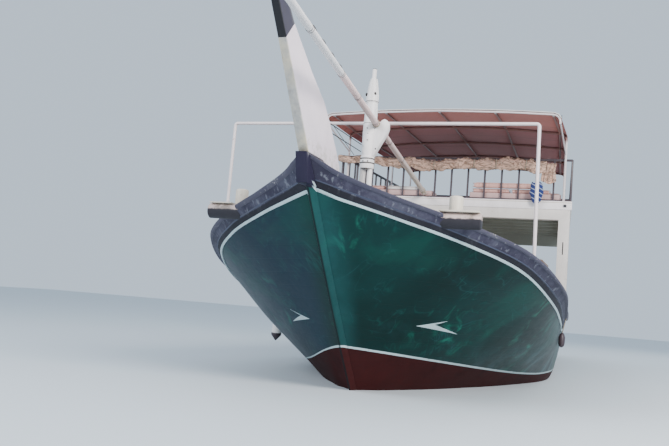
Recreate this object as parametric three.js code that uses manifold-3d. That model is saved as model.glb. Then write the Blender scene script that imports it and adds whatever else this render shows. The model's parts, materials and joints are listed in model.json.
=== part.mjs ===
// Motor dhow with a raked stemhead board, a raised passenger deck and an awning.
// Millimetres, +X towards the bow, +Y to port, +Z up. The origin is on the centreline
// amidships, at the water surface.
import * as THREE from 'three';
import { mergeVertices } from 'three/addons/utils/BufferGeometryUtils.js';
import Module from 'manifold-3d';

const wasm = await Module();
wasm.setup();

// Driving dimensions
const GAP = 0.4;                       // clearance where two timbers meet
const STEM_HALF = 70;                  // half the siding of stem and stemhead board
const CUTWATER_HALF = 16;              // half the thickness of the stem's fore edge
const STEM_MOULD = 121;                // stem timber in front of the plank ends
const STEM_TOP = 3360;
const STEM_BOW = 0.03;                 // outward bow of the stem line, as a share of its rake
const BULWARK_THICK = 85;
const CAP_WIDTH = 190;
const CAP_THICK = 60;
const DECK_THICK = 50;
const DECK_CAMBER = 60;
const MOULDING_HIGH = 48;              // white sheer moulding
const MOULDING_PROUD = 22;
const KEEL_BOTTOM_FORE = -1500;
const KEEL_BOTTOM_AFT = -1780;
const UPPER_FRONT = 1000;              // front edge of the upper deck
const UPPER_BACK = -6000;
const UPPER_TOP = 4260;
const UPPER_HALF_FRONT = 3000;
const UPPER_HALF_BACK = 2640;
const PLANK_THICK = 45;
const FASCIA_HIGH = 210;
const FASCIA_THICK = 60;
const RAIL_HIGH = 1050;
const RAIL_SIZE = 50;
const BALUSTER_SIZE = 44;
const FRONT_BAYS = 14;
const SIDE_BAYS = 15;
const AWNING_TOP = 6130;               // crown of the awning over the deck
const AWNING_ARCH = 150;               // its fall from the crown to the corners
const AWNING_FRONT = 3050;             // overhangs the deck's front edge
const AWNING_BACK = -4900;
const PIPE = 30;                       // radius of the awning's pipes
const SPAR_HEEL_R = 60;
const SPAR_TIP_R = 45;

// Materials
const finish = (color, roughness, metalness = 0) => (
  new THREE.MeshStandardMaterial({ color, roughness, metalness })
);
const GREEN = finish(0x0d4a40, 0.22);
const NAVY = finish(0x23253a, 0.6);
const RED = finish(0x6e2a20, 0.8);
const WHITE = finish(0xe8e4dc, 0.5);
const CREAM = finish(0xd8cfae, 0.6);
const GREY = finish(0x8d8a85, 0.85);
const TEAK = finish(0x8a6746, 0.75);
const BROWN = finish(0x4a2624, 0.9);
const CANVAS = finish(0xd3b98a, 0.95);
const CUSHION = finish(0xd9a898, 0.95);
const DARK = finish(0x2b2433, 0.6);
const BRONZE = finish(0xa8834a, 0.35, 0.9);

const boat = new THREE.Group();

const V = (x, y, z) => new THREE.Vector3(x, y, z);
const lerp = THREE.MathUtils.lerp;

// A named piece of the boat
function piece(name, geometry, material) {
  const mesh = new THREE.Mesh(geometry, material);
  mesh.name = name;
  boat.add(mesh);
  return mesh;
}

// Indexed geometry with its faces turned outwards
function closed(positions, index) {
  let volume = 0;
  const p = (i) => V(positions[3 * i], positions[3 * i + 1], positions[3 * i + 2]);
  for (let i = 0; i < index.length; i += 3) {
    volume += p(index[i]).dot(p(index[i + 1]).cross(p(index[i + 2])));
  }
  if (volume < 0) {
    for (let i = 0; i < index.length; i += 3) {
      [index[i + 1], index[i + 2]] = [index[i + 2], index[i + 1]];
    }
  }
  const geometry = new THREE.BufferGeometry();
  geometry.setAttribute('position', new THREE.Float32BufferAttribute(positions, 3));
  geometry.setIndex(index);
  return geometry;
}

// Skin over closed rings of equal length, capped at both ends; flat maps a cap to 2-D
function loft(rings, flat = (p) => new THREE.Vector2(p.y, p.z)) {
  const n = rings[0].length;
  const positions = rings.flat().flatMap((p) => [p.x, p.y, p.z]);
  const index = [];
  for (let r = 0; r + 1 < rings.length; r += 1) {
    for (let k = 0; k < n; k += 1) {
      const a = r * n + k;
      const b = r * n + ((k + 1) % n);
      index.push(a, b, a + n, b, b + n, a + n);
    }
  }
  for (const ring of [0, rings.length - 1]) {
    const outline = rings[ring].map(flat);
    const area = THREE.ShapeUtils.area(outline);
    for (const [i, j, k] of THREE.ShapeUtils.triangulateShape(outline, [])) {
      const along = THREE.ShapeUtils.area([outline[i], outline[j], outline[k]]) * area > 0;
      const forward = along === (ring > 0);
      const base = ring * n;
      index.push(base + i, base + (forward ? j : k), base + (forward ? k : j));
    }
  }
  return closed(positions, index);
}

// Straight bar of rectangular section from a to b; wide is across, high is upwards
function bar(a, b, wide, high) {
  const length = a.distanceTo(b);
  const geometry = new THREE.BoxGeometry(length, wide, high);
  const along = b.clone().sub(a).normalize();
  const up = Math.abs(along.z) > 0.9 ? V(1, 0, 0) : V(0, 0, 1);
  const across = up.clone().cross(along).normalize();
  const turned = along.clone().cross(across);
  const basis = new THREE.Matrix4().makeBasis(along, across, turned);
  basis.setPosition(a.clone().add(b).multiplyScalar(0.5));
  return geometry.applyMatrix4(basis);
}

// Axis-aligned block between two corners
function block(x0, y0, z0, x1, y1, z1) {
  const geometry = new THREE.BoxGeometry(Math.abs(x1 - x0), Math.abs(y1 - y0), Math.abs(z1 - z0));
  return geometry.translate((x0 + x1) / 2, (y0 + y1) / 2, (z0 + z1) / 2);
}

// Round rod from a to b, tapered where the radii differ
function rod(a, b, radiusA, radiusB = radiusA, sides = 12) {
  const geometry = new THREE.CylinderGeometry(radiusB, radiusA, a.distanceTo(b), sides);
  const turn = new THREE.Quaternion().setFromUnitVectors(V(0, 1, 0), b.clone().sub(a).normalize());
  geometry.applyQuaternion(turn);
  const middle = a.clone().add(b).multiplyScalar(0.5);
  return geometry.translate(middle.x, middle.y, middle.z);
}

// Pipe along straight runs with mitred corners; its ends face up or down
function mitred(path, radius, sides = 8) {
  const way = (i) => path[i + 1].clone().sub(path[i]).normalize();
  let along = way(0);
  let u = V(1, 0, 0).addScaledVector(along, -along.x).normalize();
  const rings = path.map((p, i) => {
    const next = i + 1 < path.length ? way(i) : along;
    const plane = along.clone().add(next).normalize();
    const v = along.clone().cross(u);
    const ring = Array.from({ length: sides }, (_, k) => {
      const angle = ((k + 0.5) / sides) * 2 * Math.PI;
      const q = u.clone().multiplyScalar(radius * Math.cos(angle));
      q.addScaledVector(v, radius * Math.sin(angle));
      return q.addScaledVector(along, -q.dot(plane) / along.dot(plane)).add(p);
    });
    u.applyQuaternion(new THREE.Quaternion().setFromUnitVectors(along, next));
    along = next;
    return ring;
  });
  return loft(rings, (p) => new THREE.Vector2(p.x, p.y));
}

// Outline in the XZ plane, thick in Y about y = centre
function slab(outline, thick, centre = 0) {
  const shape = new THREE.Shape(outline.map(([x, z]) => new THREE.Vector2(x, z)));
  const geometry = new THREE.ExtrudeGeometry(shape, { depth: thick, bevelEnabled: false });
  geometry.rotateX(Math.PI / 2);
  return geometry.translate(0, centre + thick / 2, 0);
}

// Outline in the XY plane between two heights
function plate(outline, low, high) {
  const shape = new THREE.Shape(outline.map(([x, y]) => new THREE.Vector2(x, y)));
  const geometry = new THREE.ExtrudeGeometry(shape, { depth: high - low, bevelEnabled: false });
  return geometry.translate(0, 0, low);
}

// Solids for joining and cutting
function toSolid(geometry) {
  const bare = new THREE.BufferGeometry();
  bare.setAttribute('position', geometry.attributes.position.clone());
  if (geometry.index) bare.setIndex(geometry.index.clone());
  const merged = mergeVertices(bare, 1e-3);
  return new wasm.Manifold(new wasm.Mesh({
    numProp: 3,
    vertProperties: new Float32Array(merged.attributes.position.array),
    triVerts: new Uint32Array(merged.index.array),
  }));
}

function toGeometry(solid) {
  const mesh = solid.getMesh();
  const geometry = new THREE.BufferGeometry();
  geometry.setAttribute('position', new THREE.BufferAttribute(mesh.vertProperties, 3));
  geometry.setIndex(new THREE.BufferAttribute(mesh.triVerts, 1));
  return geometry;
}

const join = (...parts) => toGeometry(parts.map(toSolid).reduce((a, b) => a.add(b)));
const cut = (body, ...tools) => (
  toGeometry(tools.map(toSolid).reduce((a, b) => a.subtract(b), toSolid(body)))
);

// Hull lines: one row for each station from the transom to the stem. A station is a
// plane that leans with the ends: top is its x at the sheer moulding, foot its x on the
// rabbet. The pairs are half-breadth and height on the way up the side.
const COLUMNS = ['top', 'foot', 'rabbetZ', 'bilgeY', 'bilgeZ', 'waterY', 'waterZ',
  'wingY', 'wingZ', 'sheerY', 'sheerZ', 'capY', 'capZ', 'deckDrop'];
const LINES = [
  [-10350, -9600, -100, 800, 130, 1400, 430, 1900, 1020, 2160, 1720, 2195, 1990, 180],
  [-8600, -8500, -700, 700, -280, 1750, 120, 2230, 850, 2400, 1560, 2465, 1800, 180],
  [-6500, -6500, -1100, 1050, -640, 2150, 0, 2480, 760, 2590, 1380, 2665, 1610, 180],
  [-4000, -4000, -1250, 1450, -880, 2420, 0, 2640, 700, 2720, 1250, 2795, 1470, 180],
  [-1000, -1000, -1280, 1700, -960, 2580, 0, 2760, 680, 2830, 1170, 2905, 1380, 180],
  [2000, 2000, -1260, 1650, -940, 2640, 0, 2860, 720, 2930, 1190, 3015, 1400, 180],
  [4500, 4000, -1240, 1250, -850, 2060, 0, 2860, 860, 3040, 1380, 3135, 1580, 180],
  [6600, 5400, -1220, 750, -740, 1400, 0, 2500, 1060, 3010, 1690, 3165, 1880, 180],
  [8200, 6100, -1220, 430, -680, 940, 0, 1800, 1200, 2640, 2120, 2755, 2325, 190],
  [9300, 6490, -1230, 260, -640, 600, 0, 1180, 1320, 1920, 2420, 1950, 2630, 210],
  [10100, 6710, -1250, 170, -620, 380, 0, 640, 1400, 1080, 2660, 1020, 2890, 230],
  [10600, 6800, -1280, 110, -620, 200, 0, 300, 1450, 420, 2830, 372, 3110, 150],
  [10850, 6850, -1350, STEM_HALF, -620, STEM_HALF, 0, STEM_HALF, 1450, STEM_HALF, 2915,
    STEM_HALF, 3300, 10],
];
const STEPS_PER_ROW = 2;
const SECTION_STEPS = 8;

// Smooth value of a column between rows, at a row number that may be fractional
function columnAt(column, at) {
  const k = COLUMNS.indexOf(column);
  const i = Math.min(Math.floor(at), LINES.length - 2);
  const t = at - i;
  const value = (j) => LINES[THREE.MathUtils.clamp(j, 0, LINES.length - 1)][k];
  const [a, b, c, d] = [value(i - 1), value(i), value(i + 1), value(i + 2)];
  const slopeB = (c - a) / 2;
  const slopeC = (d - b) / 2;
  const [t2, t3] = [t * t, t * t * t];
  return (2 * t3 - 3 * t2 + 1) * b + (t3 - 2 * t2 + t) * slopeB
    + (3 * t2 - 2 * t3) * c + (t3 - t2) * slopeC;
}

function stationAt(at) {
  const row = Object.fromEntries(COLUMNS.map((column) => [column, columnAt(column, at)]));
  row.xAt = (z) => {
    const t = (z - row.rabbetZ) / (row.sheerZ - row.rabbetZ);
    const bow = row.top > 0 && t > 0 && t < 1 ? STEM_BOW * Math.sin(Math.PI * t) : 0;
    return row.foot + (row.top - row.foot) * (t + bow);
  };
  const side = new THREE.CatmullRomCurve3([
    V(0, Math.min(STEM_HALF, row.bilgeY), row.rabbetZ),
    V(0, row.bilgeY, row.bilgeZ),
    V(0, row.waterY, row.waterZ),
    V(0, row.wingY, row.wingZ),
    V(0, row.sheerY, row.sheerZ),
  ], false, 'centripetal').getPoints(SECTION_STEPS);
  const sheer = side[SECTION_STEPS];
  const below = side[SECTION_STEPS - 1];
  const share = MOULDING_HIGH / sheer.distanceTo(below);
  side.splice(SECTION_STEPS, 0, sheer.clone().lerp(below, share));
  row.side = side;
  row.point = (y, z) => V(row.xAt(z), y, z);
  // Half-breadth of the planking at a height
  row.breadthAt = (z) => {
    for (let i = side.length - 1; i > 0; i -= 1) {
      if (z >= side[i - 1].z) {
        const t = (z - side[i - 1].z) / (side[i].z - side[i - 1].z);
        return lerp(side[i - 1].y, side[i].y, t);
      }
    }
    return side[0].y;
  };
  return row;
}

const stations = [];
for (let i = 0; i <= (LINES.length - 1) * STEPS_PER_ROW; i += 1) {
  stations.push(stationAt(i / STEPS_PER_ROW));
}
const lastStation = stations[stations.length - 1];

const deckHeight = (row) => row.sheerZ - row.deckDrop;
const WELL_INSET = 90;
const wellHalf = (row, z) => Math.max(row.breadthAt(z) - WELL_INSET, 4);
const crownOf = (half) => DECK_CAMBER * Math.min(1, half / 2000);
const DECK_INSET = 12;

// Hull: planking and frames as one solid up to the underside of the deck
function hullRing(row) {
  const port = row.side.map((p) => row.point(p.y, p.z));
  const deckZ = deckHeight(row);
  const inner = wellHalf(row, deckZ);
  port.push(row.point(wellHalf(row, row.sheerZ), row.sheerZ));
  port.push(row.point(inner, deckZ));
  const centre = row.point(0, deckZ + crownOf(inner));
  const starboard = port.map((p) => V(p.x, -p.y, p.z)).reverse();
  return [...port, centre, ...starboard];
}
// The flat stem end is capped as if slightly bellied, so that each of its edges is kept
const BELLY = { z: 800, span: 12000 };
const bellied = (p) => new THREE.Vector2(p.y * (1 - ((p.z - BELLY.z) / BELLY.span) ** 2), p.z);
const hullBody = loft(stations.map(hullRing), bellied);
piece('hull', hullBody, GREEN);

// Deck planking inside the bulwarks
const deckStations = stations.slice(0, stations.length - 2);
function deckRing(row) {
  const inner = wellHalf(row, deckHeight(row));
  const crown = crownOf(inner);
  const half = inner - DECK_INSET;
  const edge = deckHeight(row) + (crown * DECK_INSET) / inner + GAP;
  const middle = deckHeight(row) + crown + GAP;
  return [
    row.point(0, middle), row.point(-half, edge), row.point(-half, edge + DECK_THICK),
    row.point(0, middle + DECK_THICK), row.point(half, edge + DECK_THICK), row.point(half, edge),
  ];
}

// Side timbers: bulwark, cap rail and sheer moulding. Rings run from the outside inwards on
// starboard and the other way to port, as the hull's own rings do.
const SIDES = [['port', 1], ['starboard', -1]];
const capOuter = (row) => row.capY + Math.min(45, (row.capY - STEM_HALF) * 0.3);
const capInner = (row) => Math.max(capOuter(row) - CAP_WIDTH, 3);
const capTop = (row) => row.capZ + GAP + CAP_THICK;

// Room that the side timbers and the hull's edge take, to notch what stands beside them
function sideCutter(sign, clear = 0.9) {
  const ring = (row) => {
    const inTop = Math.max(row.capY - BULWARK_THICK, 3) - clear;
    const deckZ = deckHeight(row);
    return [
      row.point(sign * (capInner(row) - clear), capTop(row) + clear),
      row.point(sign * 4500, capTop(row) + clear),
      row.point(sign * 4500, deckZ - 900),
      row.point(sign * (wellHalf(row, deckZ) - clear), deckZ - 900),
      row.point(sign * (wellHalf(row, deckZ) - clear), deckZ),
      row.point(sign * (wellHalf(row, row.sheerZ) - clear), row.sheerZ),
      row.point(sign * inTop, row.capZ - clear),
      row.point(sign * (capInner(row) - clear), row.capZ - clear),
    ];
  };
  return loft(stations.slice(0, stations.length - 3).map(ring));
}

// Room below the deck's upper face
const deckCutter = loft(deckStations.map((row) => {
  const [centre, rightLow, rightTop, top, leftTop, leftLow] = deckRing(row);
  const out = (p) => p.y + Math.sign(p.y) * (DECK_INSET + 1);
  const up = (p) => V(p.x, out(p), p.z + GAP);
  const down = (p) => V(p.x, out(p), p.z - 2500);
  return [down(centre), down(rightLow), up(rightTop), up(top), up(leftTop), down(leftLow)];
}));
const fitDeck = (geometry) => cut(geometry, deckCutter);
const fitSides = (geometry) => cut(geometry, deckCutter, sideCutter(1), sideCutter(-1));

// Foremost crossbeam, a round log let into both bulwarks
const LOG = { x: 9650, z: 2710, r: 125, half: 2160 };
const logRod = (radius) => (
  rod(V(LOG.x, -LOG.half, LOG.z), V(LOG.x, LOG.half, LOG.z), radius, radius, 20)
);

const bulwarks = {};
for (const [side, sign] of SIDES) {
  const turned = (ring) => (sign > 0 ? ring.reverse() : ring);
  const bulwark = (row) => {
    const bottom = row.sheerZ + GAP;
    const innerTop = Math.max(row.capY - BULWARK_THICK, 3);
    const innerBottom = Math.max(row.sheerY - BULWARK_THICK, 3);
    return turned([
      row.point(sign * row.sheerY, bottom), row.point(sign * row.capY, row.capZ),
      row.point(sign * innerTop, row.capZ), row.point(sign * innerBottom, bottom),
    ]);
  };
  bulwarks[side] = cut(loft(stations.map(bulwark)), logRod(LOG.r + 1));
  piece(`bulwark_${side}`, bulwarks[side], NAVY);
  const cap = (row) => {
    const z = row.capZ + GAP;
    return turned([
      row.point(sign * capOuter(row), z), row.point(sign * capOuter(row), z + CAP_THICK),
      row.point(sign * capInner(row), z + CAP_THICK), row.point(sign * capInner(row), z),
    ]);
  };
  const capBody = loft(stations.map(cap));
  const ahead = block(LOG.x, -4000, 0, 12000, 4000, 4000);
  const behind = block(-12000, -4000, 0, LOG.x, 4000, 4000);
  piece(`cap_rail_${side}`, cut(capBody, logRod(LOG.r + 1), ahead), GREY);
  piece(`cap_rail_fore_${side}`, cut(capBody, logRod(LOG.r + 1), behind), GREY);
  const moulding = (row) => {
    const n = row.side.length;
    const [low, high] = [row.side[n - 2], row.side[n - 1]];
    const along = high.clone().sub(low).normalize();
    const out = V(0, along.z, -along.y);
    const at = (p, distance) => {
      const q = p.clone().addScaledVector(out, distance);
      return V(row.xAt(p.z), sign * q.y, q.z);
    };
    return turned([
      at(low, GAP), at(low, MOULDING_PROUD), at(high, MOULDING_PROUD), at(high, GAP),
    ]);
  };
  piece(`sheer_moulding_${side}`, loft(stations.map(moulding)), WHITE);
}
piece('crossbeam', logRod(LOG.r), CREAM);

// Stem: a wedge in front of the plank ends that narrows to the cutwater, under a square head
const STEM_FOOT = 6350;
const STEM_RISE = 44;                  // its fore edge lies this much lower than the rabbet
const HEAD_BLOCK = { low: 2960, lowX: 11250, topX: 11370, half: 80 };
const ahead = stations.findIndex((row) => row.foot > STEM_FOOT);
const [rowBelow, rowAbove] = [stations[ahead - 1], stations[ahead]];
const footShare = (STEM_FOOT - rowBelow.foot) / (rowAbove.foot - rowBelow.foot);
const footZ = lerp(rowBelow.rabbetZ, rowAbove.rabbetZ, footShare) - GAP;
const toe = stations.slice(ahead, -1).map((row) => {
  const share = (row.foot - STEM_FOOT) / (lastStation.foot + STEM_MOULD - STEM_FOOT);
  const low = lastStation.rabbetZ - STEM_RISE;
  return {
    back: [row.foot, row.rabbetZ - GAP],
    front: [lerp(STEM_FOOT, lastStation.foot + STEM_MOULD, share), lerp(KEEL_BOTTOM_FORE, low, share)],
    half: lerp(STEM_HALF, CUTWATER_HALF, share / 2),
  };
});
const rise = [...lastStation.side.map((p) => p.z), HEAD_BLOCK.low + STEM_RISE].map((z) => ({
  back: [lastStation.xAt(z) + GAP, z],
  front: [lastStation.xAt(z) + STEM_MOULD, z - STEM_RISE],
  half: z > 0 ? CUTWATER_HALF : lerp(CUTWATER_HALF, STEM_HALF, z / lastStation.rabbetZ / 2),
}));
const stemRings = [
  { back: [STEM_FOOT, footZ], front: [STEM_FOOT, KEEL_BOTTOM_FORE], half: STEM_HALF },
  ...toe, ...rise,
].map(({ back, front, half }) => [
  V(back[0], -STEM_HALF, back[1]), V(back[0], STEM_HALF, back[1]),
  V(front[0], half, front[1]), V(front[0], -half, front[1]),
]);
const stemHead = slab([
  [lastStation.xAt(HEAD_BLOCK.low) + GAP, HEAD_BLOCK.low], [HEAD_BLOCK.lowX, HEAD_BLOCK.low],
  [HEAD_BLOCK.topX, STEM_TOP], [lastStation.xAt(STEM_TOP) + GAP, STEM_TOP],
], 2 * HEAD_BLOCK.half);
const stemTimber = loft(stemRings, (p) => new THREE.Vector2(p.y, p.x + p.z));
piece('stem', join(stemTimber, stemHead), WHITE);

// Stemhead board above the bulwarks, with its heel on the deck
const BOARD_FOOT = STEM_TOP + 8;
const BOARD_OUTLINE = [
  [11280, BOARD_FOOT], [12290, 4580], [12570, 4900], [12960, 5400], [12960, 5560], [12820, 5600],
  [12400, 5140], [12060, 4850], [11750, 4670], [11350, 4440], [11080, 4310], [10790, 4165],
  [10500, 3935], [10160, 3610], [9960, 3400], [9900, 2300], [10350, 2300], [10380, 3270],
  [10700, BOARD_FOOT],
];
const BOARD_TAPER = 0.0125;            // half thickness lost for each unit of height
const board = slab(BOARD_OUTLINE, 2);
const boardPoints = board.attributes.position;
for (let i = 0; i < boardPoints.count; i += 1) {
  const half = STEM_HALF - BOARD_TAPER * (boardPoints.getZ(i) - BOARD_FOOT);
  boardPoints.setY(i, Math.sign(boardPoints.getY(i)) * half);
}
piece('stemhead', fitDeck(board), WHITE);

// Deck and transom
piece('deck', loft(deckStations.map(deckRing)), TEAK);
const TRANSOM_THICK = 60;
const stern = stations[0];
const transomRing = (back) => {
  const shift = (p) => V(p.x - back, p.y, p.z);
  const port = stern.side.map((p) => shift(stern.point(p.y, p.z)));
  port.push(shift(stern.point(stern.capY, stern.capZ)));
  const starboard = port.map((p) => V(p.x, -p.y, p.z)).reverse();
  return [...port, shift(stern.point(0, stern.capZ + 90)), ...starboard];
};
piece('transom', loft([transomRing(GAP), transomRing(TRANSOM_THICK)]), NAVY);
const capAft = (back, up) => {
  const at = (y, z) => V(stern.xAt(z + up) - back, y, z + up);
  const [half, z] = [stern.capY + 40, stern.capZ];
  return [at(-half, z), at(0, z + 90), at(half, z)];
};
const capAftRing = (back) => [...capAft(back, GAP), ...capAft(back, CAP_THICK).reverse()];
piece('cap_rail_aft', loft([capAftRing(1), capAftRing(TRANSOM_THICK + 70)]), GREY);

// Keel, deadwood and sternpost; the post's back face is a straight raked line
const POST_RAKE = -0.36;
const postBack = (z) => -9250 + POST_RAKE * (z - KEEL_BOTTOM_AFT);
const POST_TOP = 1500;
const transomBack = (z) => stern.xAt(z) - TRANSOM_THICK - GAP;
const PROP = { x: -8900, z: -1010, r: 420, hub: 75 };
const APERTURE = [[-8640, -1460], [-9170, -1460], [-9330, -400], [-8640, -560]];
const keelTop = stations.slice(0, -2).map((row) => [row.foot, row.rabbetZ - GAP]).reverse();
const keelOutline = [
  [STEM_FOOT - GAP, KEEL_BOTTOM_FORE],
  [STEM_FOOT - GAP, footZ],
  ...keelTop.filter(([x]) => x < STEM_FOOT - 20),
  [transomBack(stern.rabbetZ), stern.rabbetZ],
  [transomBack(POST_TOP), POST_TOP],
  [postBack(POST_TOP), POST_TOP],
  [postBack(KEEL_BOTTOM_AFT), KEEL_BOTTOM_AFT],
];
const AXIS = V(POST_RAKE, 0, 1).normalize();
const AHEAD = V(AXIS.z, 0, -AXIS.x);
const RUDDER_OUT = 50;                  // rudder axis behind the post's back face
const axisPoint = (z) => V(postBack(z) - RUDDER_OUT, 0, z);
const GUDGEONS = [-1400, -300, 800];
const PINTLE = 22;
const GUDGEON = { long: 80, wide: 90, ahead: 95, behind: 45 };
const alongAxis = (z, low, high, shift) => {
  const centre = axisPoint(z).addScaledVector(AHEAD, shift);
  return [
    centre.clone().addScaledVector(AXIS, low), centre.clone().addScaledVector(AXIS, high),
  ];
};
const gudgeon = (z) => {
  const { long, wide, ahead, behind } = GUDGEON;
  const lug = bar(...alongAxis(z, -long / 2, long / 2, (ahead - behind) / 2), wide, ahead + behind);
  return cut(lug, rod(...alongAxis(z, -90, 90, 0), PINTLE + 0.8, PINTLE + 0.8, 16));
};
const keelBody = cut(
  slab(keelOutline, 2 * STEM_HALF),
  slab(APERTURE, 4 * STEM_HALF),
);
const sternTube = rod(V(PROP.x + 160, 0, PROP.z), V(-8300, 0, PROP.z), 85, 100, 16);
piece('keel', join(keelBody, sternTube, ...GUDGEONS.map(gudgeon)), RED);

// Rudder hung on three pintles, with its head and tiller above the transom
const RUDDER_THICK = 80;
const LEAD = 26;                        // fore edge ahead of the rudder axis
const HEAD = { top: 2420, wide: 180 };
const TILLER = { z: 2340, long: 1050, size: 60 };
const rudderOutline = [
  [axisPoint(-1740).x + LEAD, -1740], [axisPoint(HEAD.top).x + LEAD, HEAD.top],
  [axisPoint(HEAD.top).x - HEAD.wide, HEAD.top], [axisPoint(1350).x - HEAD.wide, 1350],
  [-10660, 760], [-10640, 200], [-10600, -400], [-10420, -1300], [-10250, -1740],
];
const notch = (z) => bar(...alongAxis(z, -55, 55, -22), 200, 112);
const pintle = (z) => rod(...alongAxis(z, -95, 95, 0), PINTLE, PINTLE, 16);
const rudderBlade = cut(slab(rudderOutline, RUDDER_THICK), ...GUDGEONS.map(notch));
const tiller = bar(
  V(axisPoint(TILLER.z).x - 60, 0, TILLER.z), V(axisPoint(TILLER.z).x + TILLER.long, 0, TILLER.z),
  TILLER.size, TILLER.size,
);
piece('rudder', join(rudderBlade, ...GUDGEONS.map(pintle), tiller), GREEN);

// Propeller
const BLADES = 4;
const blade = (turn) => {
  const shape = new THREE.Shape();
  shape.moveTo(-45, 40);
  shape.bezierCurveTo(-150, 180, -150, 360, 0, PROP.r);
  shape.bezierCurveTo(150, 360, 150, 180, 45, 40);
  const geometry = new THREE.ExtrudeGeometry(shape, { depth: 22, bevelEnabled: false, curveSegments: 5 });
  geometry.translate(0, 0, -11);
  geometry.rotateY(THREE.MathUtils.degToRad(58));
  geometry.rotateX((turn * 2 * Math.PI) / BLADES);
  return geometry.translate(PROP.x, 0, PROP.z);
};
const hub = rod(V(PROP.x - 130, 0, PROP.z), V(PROP.x + 110, 0, PROP.z), 45, PROP.hub, 16);
const shaft = rod(V(PROP.x + 50, 0, PROP.z), V(PROP.x + 159.6, 0, PROP.z), 35, 35, 16);
piece('propeller', join(hub, shaft, ...Array.from({ length: BLADES }, (_, i) => blade(i))), BRONZE);

// Bitts beside the crossbeam
const BITT = { x: 9420, y: 1740, r: 103, top: 3100 };
for (const [side, sign] of SIDES) {
  const at = (z) => V(BITT.x, sign * BITT.y, z);
  const room = [hullBody, bulwarks[side]].map((body) => body.clone().translate(0, -sign * 0.5, 0.5));
  const post = rod(at(2000), at(BITT.top), BITT.r, BITT.r, 14);
  piece(`bitt_${side}`, cut(fitSides(post), ...room), CREAM);
}

// Mast: two timbers below the iron band, one above it, with a fork arm bolted to port, and
// the lowered spar that lies in the fork
const MAST_X = 8400;
const SPAR = { heel: V(930, -673, 4360.8), crotch: V(MAST_X, 132, 4410) };
const sparWay = SPAR.crotch.clone().sub(SPAR.heel);
const sparAt = (x) => SPAR.heel.clone().addScaledVector(sparWay, (x - SPAR.heel.x) / sparWay.x);
const SPAR_TIP = 13900;
const sparRod = (extra) => (
  rod(sparAt(SPAR.heel.x), sparAt(SPAR_TIP), SPAR_HEEL_R + extra, SPAR_TIP_R + extra, 16)
);
piece('spar', sparRod(0), WHITE);
const MAST_SIDES = 20;
const mastRod = (y0, z0, y1, z1, r0, r1, extra = 0) => (
  rod(V(MAST_X, y0, z0), V(MAST_X, y1, z1), r0 + extra, r1 + extra, MAST_SIDES)
);
const upperMast = (extra = 0) => [
  mastRod(8, 3690, 0, 3860, 118, 112, extra),
  mastRod(2, 3850, 10, 4400, 100, 112, extra),
  mastRod(10, 4395, 15, 4780, 112, 98, extra),
  mastRod(15, 4775, 17, 4850, 104, 106, extra),
];
const mastParts = [
  mastRod(-57, 1900, -52, 3800, 48, 48),
  mastRod(78, 1900, 64, 3800, 38, 44),
  ...upperMast(),
  mastRod(17, 4845, 22, 4930, 106, 104),
  mastRod(22, 4925, 18, 5200, 100, 63),
  mastRod(20, 5190, 23, 5375, 37, 37),
];
const ARM_DEEP = 120;
const ARM_OUTLINE = [
  [60, 3880], [122, 3870], [180, 3990], [319, 4248], [346, 4340], [340, 4424], [314, 4474],
  [273, 4492], [228, 4472], [196, 4417], [100, 4300], [60, 4200],
];
const arm = slab(ARM_OUTLINE, ARM_DEEP).rotateZ(Math.PI / 2).translate(MAST_X, 0, 0);
piece('mast', fitDeck(cut(join(...mastParts), sparRod(GAP))), WHITE);
piece('mast_arm', cut(arm, sparRod(GAP), ...upperMast(GAP)), WHITE);

// Pipe frame across the foredeck
const GANTRY = { x: 7900, footY: 2765, footZ: 2250, topY: 2735, topZ: 4545, r: 35 };
const gantryPath = [1, -1].flatMap((sign) => {
  const ends = [
    V(GANTRY.x, sign * GANTRY.footY, GANTRY.footZ), V(GANTRY.x, sign * GANTRY.topY, GANTRY.topZ),
  ];
  return sign > 0 ? ends : ends.reverse();
});
piece('gantry', fitSides(mitred(gantryPath, GANTRY.r, 12)), WHITE);

// Upper deck: planks and beams inside a white fascia
const upperHalf = (x) => lerp(
  UPPER_HALF_BACK, UPPER_HALF_FRONT, (x - UPPER_BACK) / (UPPER_FRONT - UPPER_BACK),
);
const deckPlan = (inset, backInset = inset) => {
  const [front, back] = [UPPER_FRONT - inset, UPPER_BACK + backInset];
  return [
    [front, -upperHalf(front) + inset], [front, upperHalf(front) - inset],
    [back, upperHalf(back) - inset], [back, -upperHalf(back) + inset],
  ];
};
const fasciaLow = UPPER_TOP - FASCIA_HIGH;
const fasciaHole = plate(deckPlan(FASCIA_THICK), fasciaLow - 50, UPPER_TOP + 50);
piece('upper_fascia', cut(plate(deckPlan(0), fasciaLow, UPPER_TOP), fasciaHole), WHITE);
const BEAMS = 8;
const beams = Array.from({ length: BEAMS }, (_, i) => {
  const x = lerp(UPPER_BACK + 500, UPPER_FRONT - 500, i / (BEAMS - 1));
  const half = upperHalf(x) - FASCIA_THICK - 12;
  return block(x - 50, -half, fasciaLow, x + 50, half, UPPER_TOP - PLANK_THICK + 5);
});
const planks = plate(deckPlan(FASCIA_THICK + GAP), UPPER_TOP - PLANK_THICK, UPPER_TOP);
const AFTER_BEAM = { back: -5750, front: -5600, low: 3700, half: 2380 };
const afterBeam = block(
  AFTER_BEAM.back, -AFTER_BEAM.half, AFTER_BEAM.low,
  AFTER_BEAM.front, AFTER_BEAM.half, UPPER_TOP - PLANK_THICK + 5,
);
piece('upper_deck', join(planks, afterBeam, ...beams), CREAM);

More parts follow.
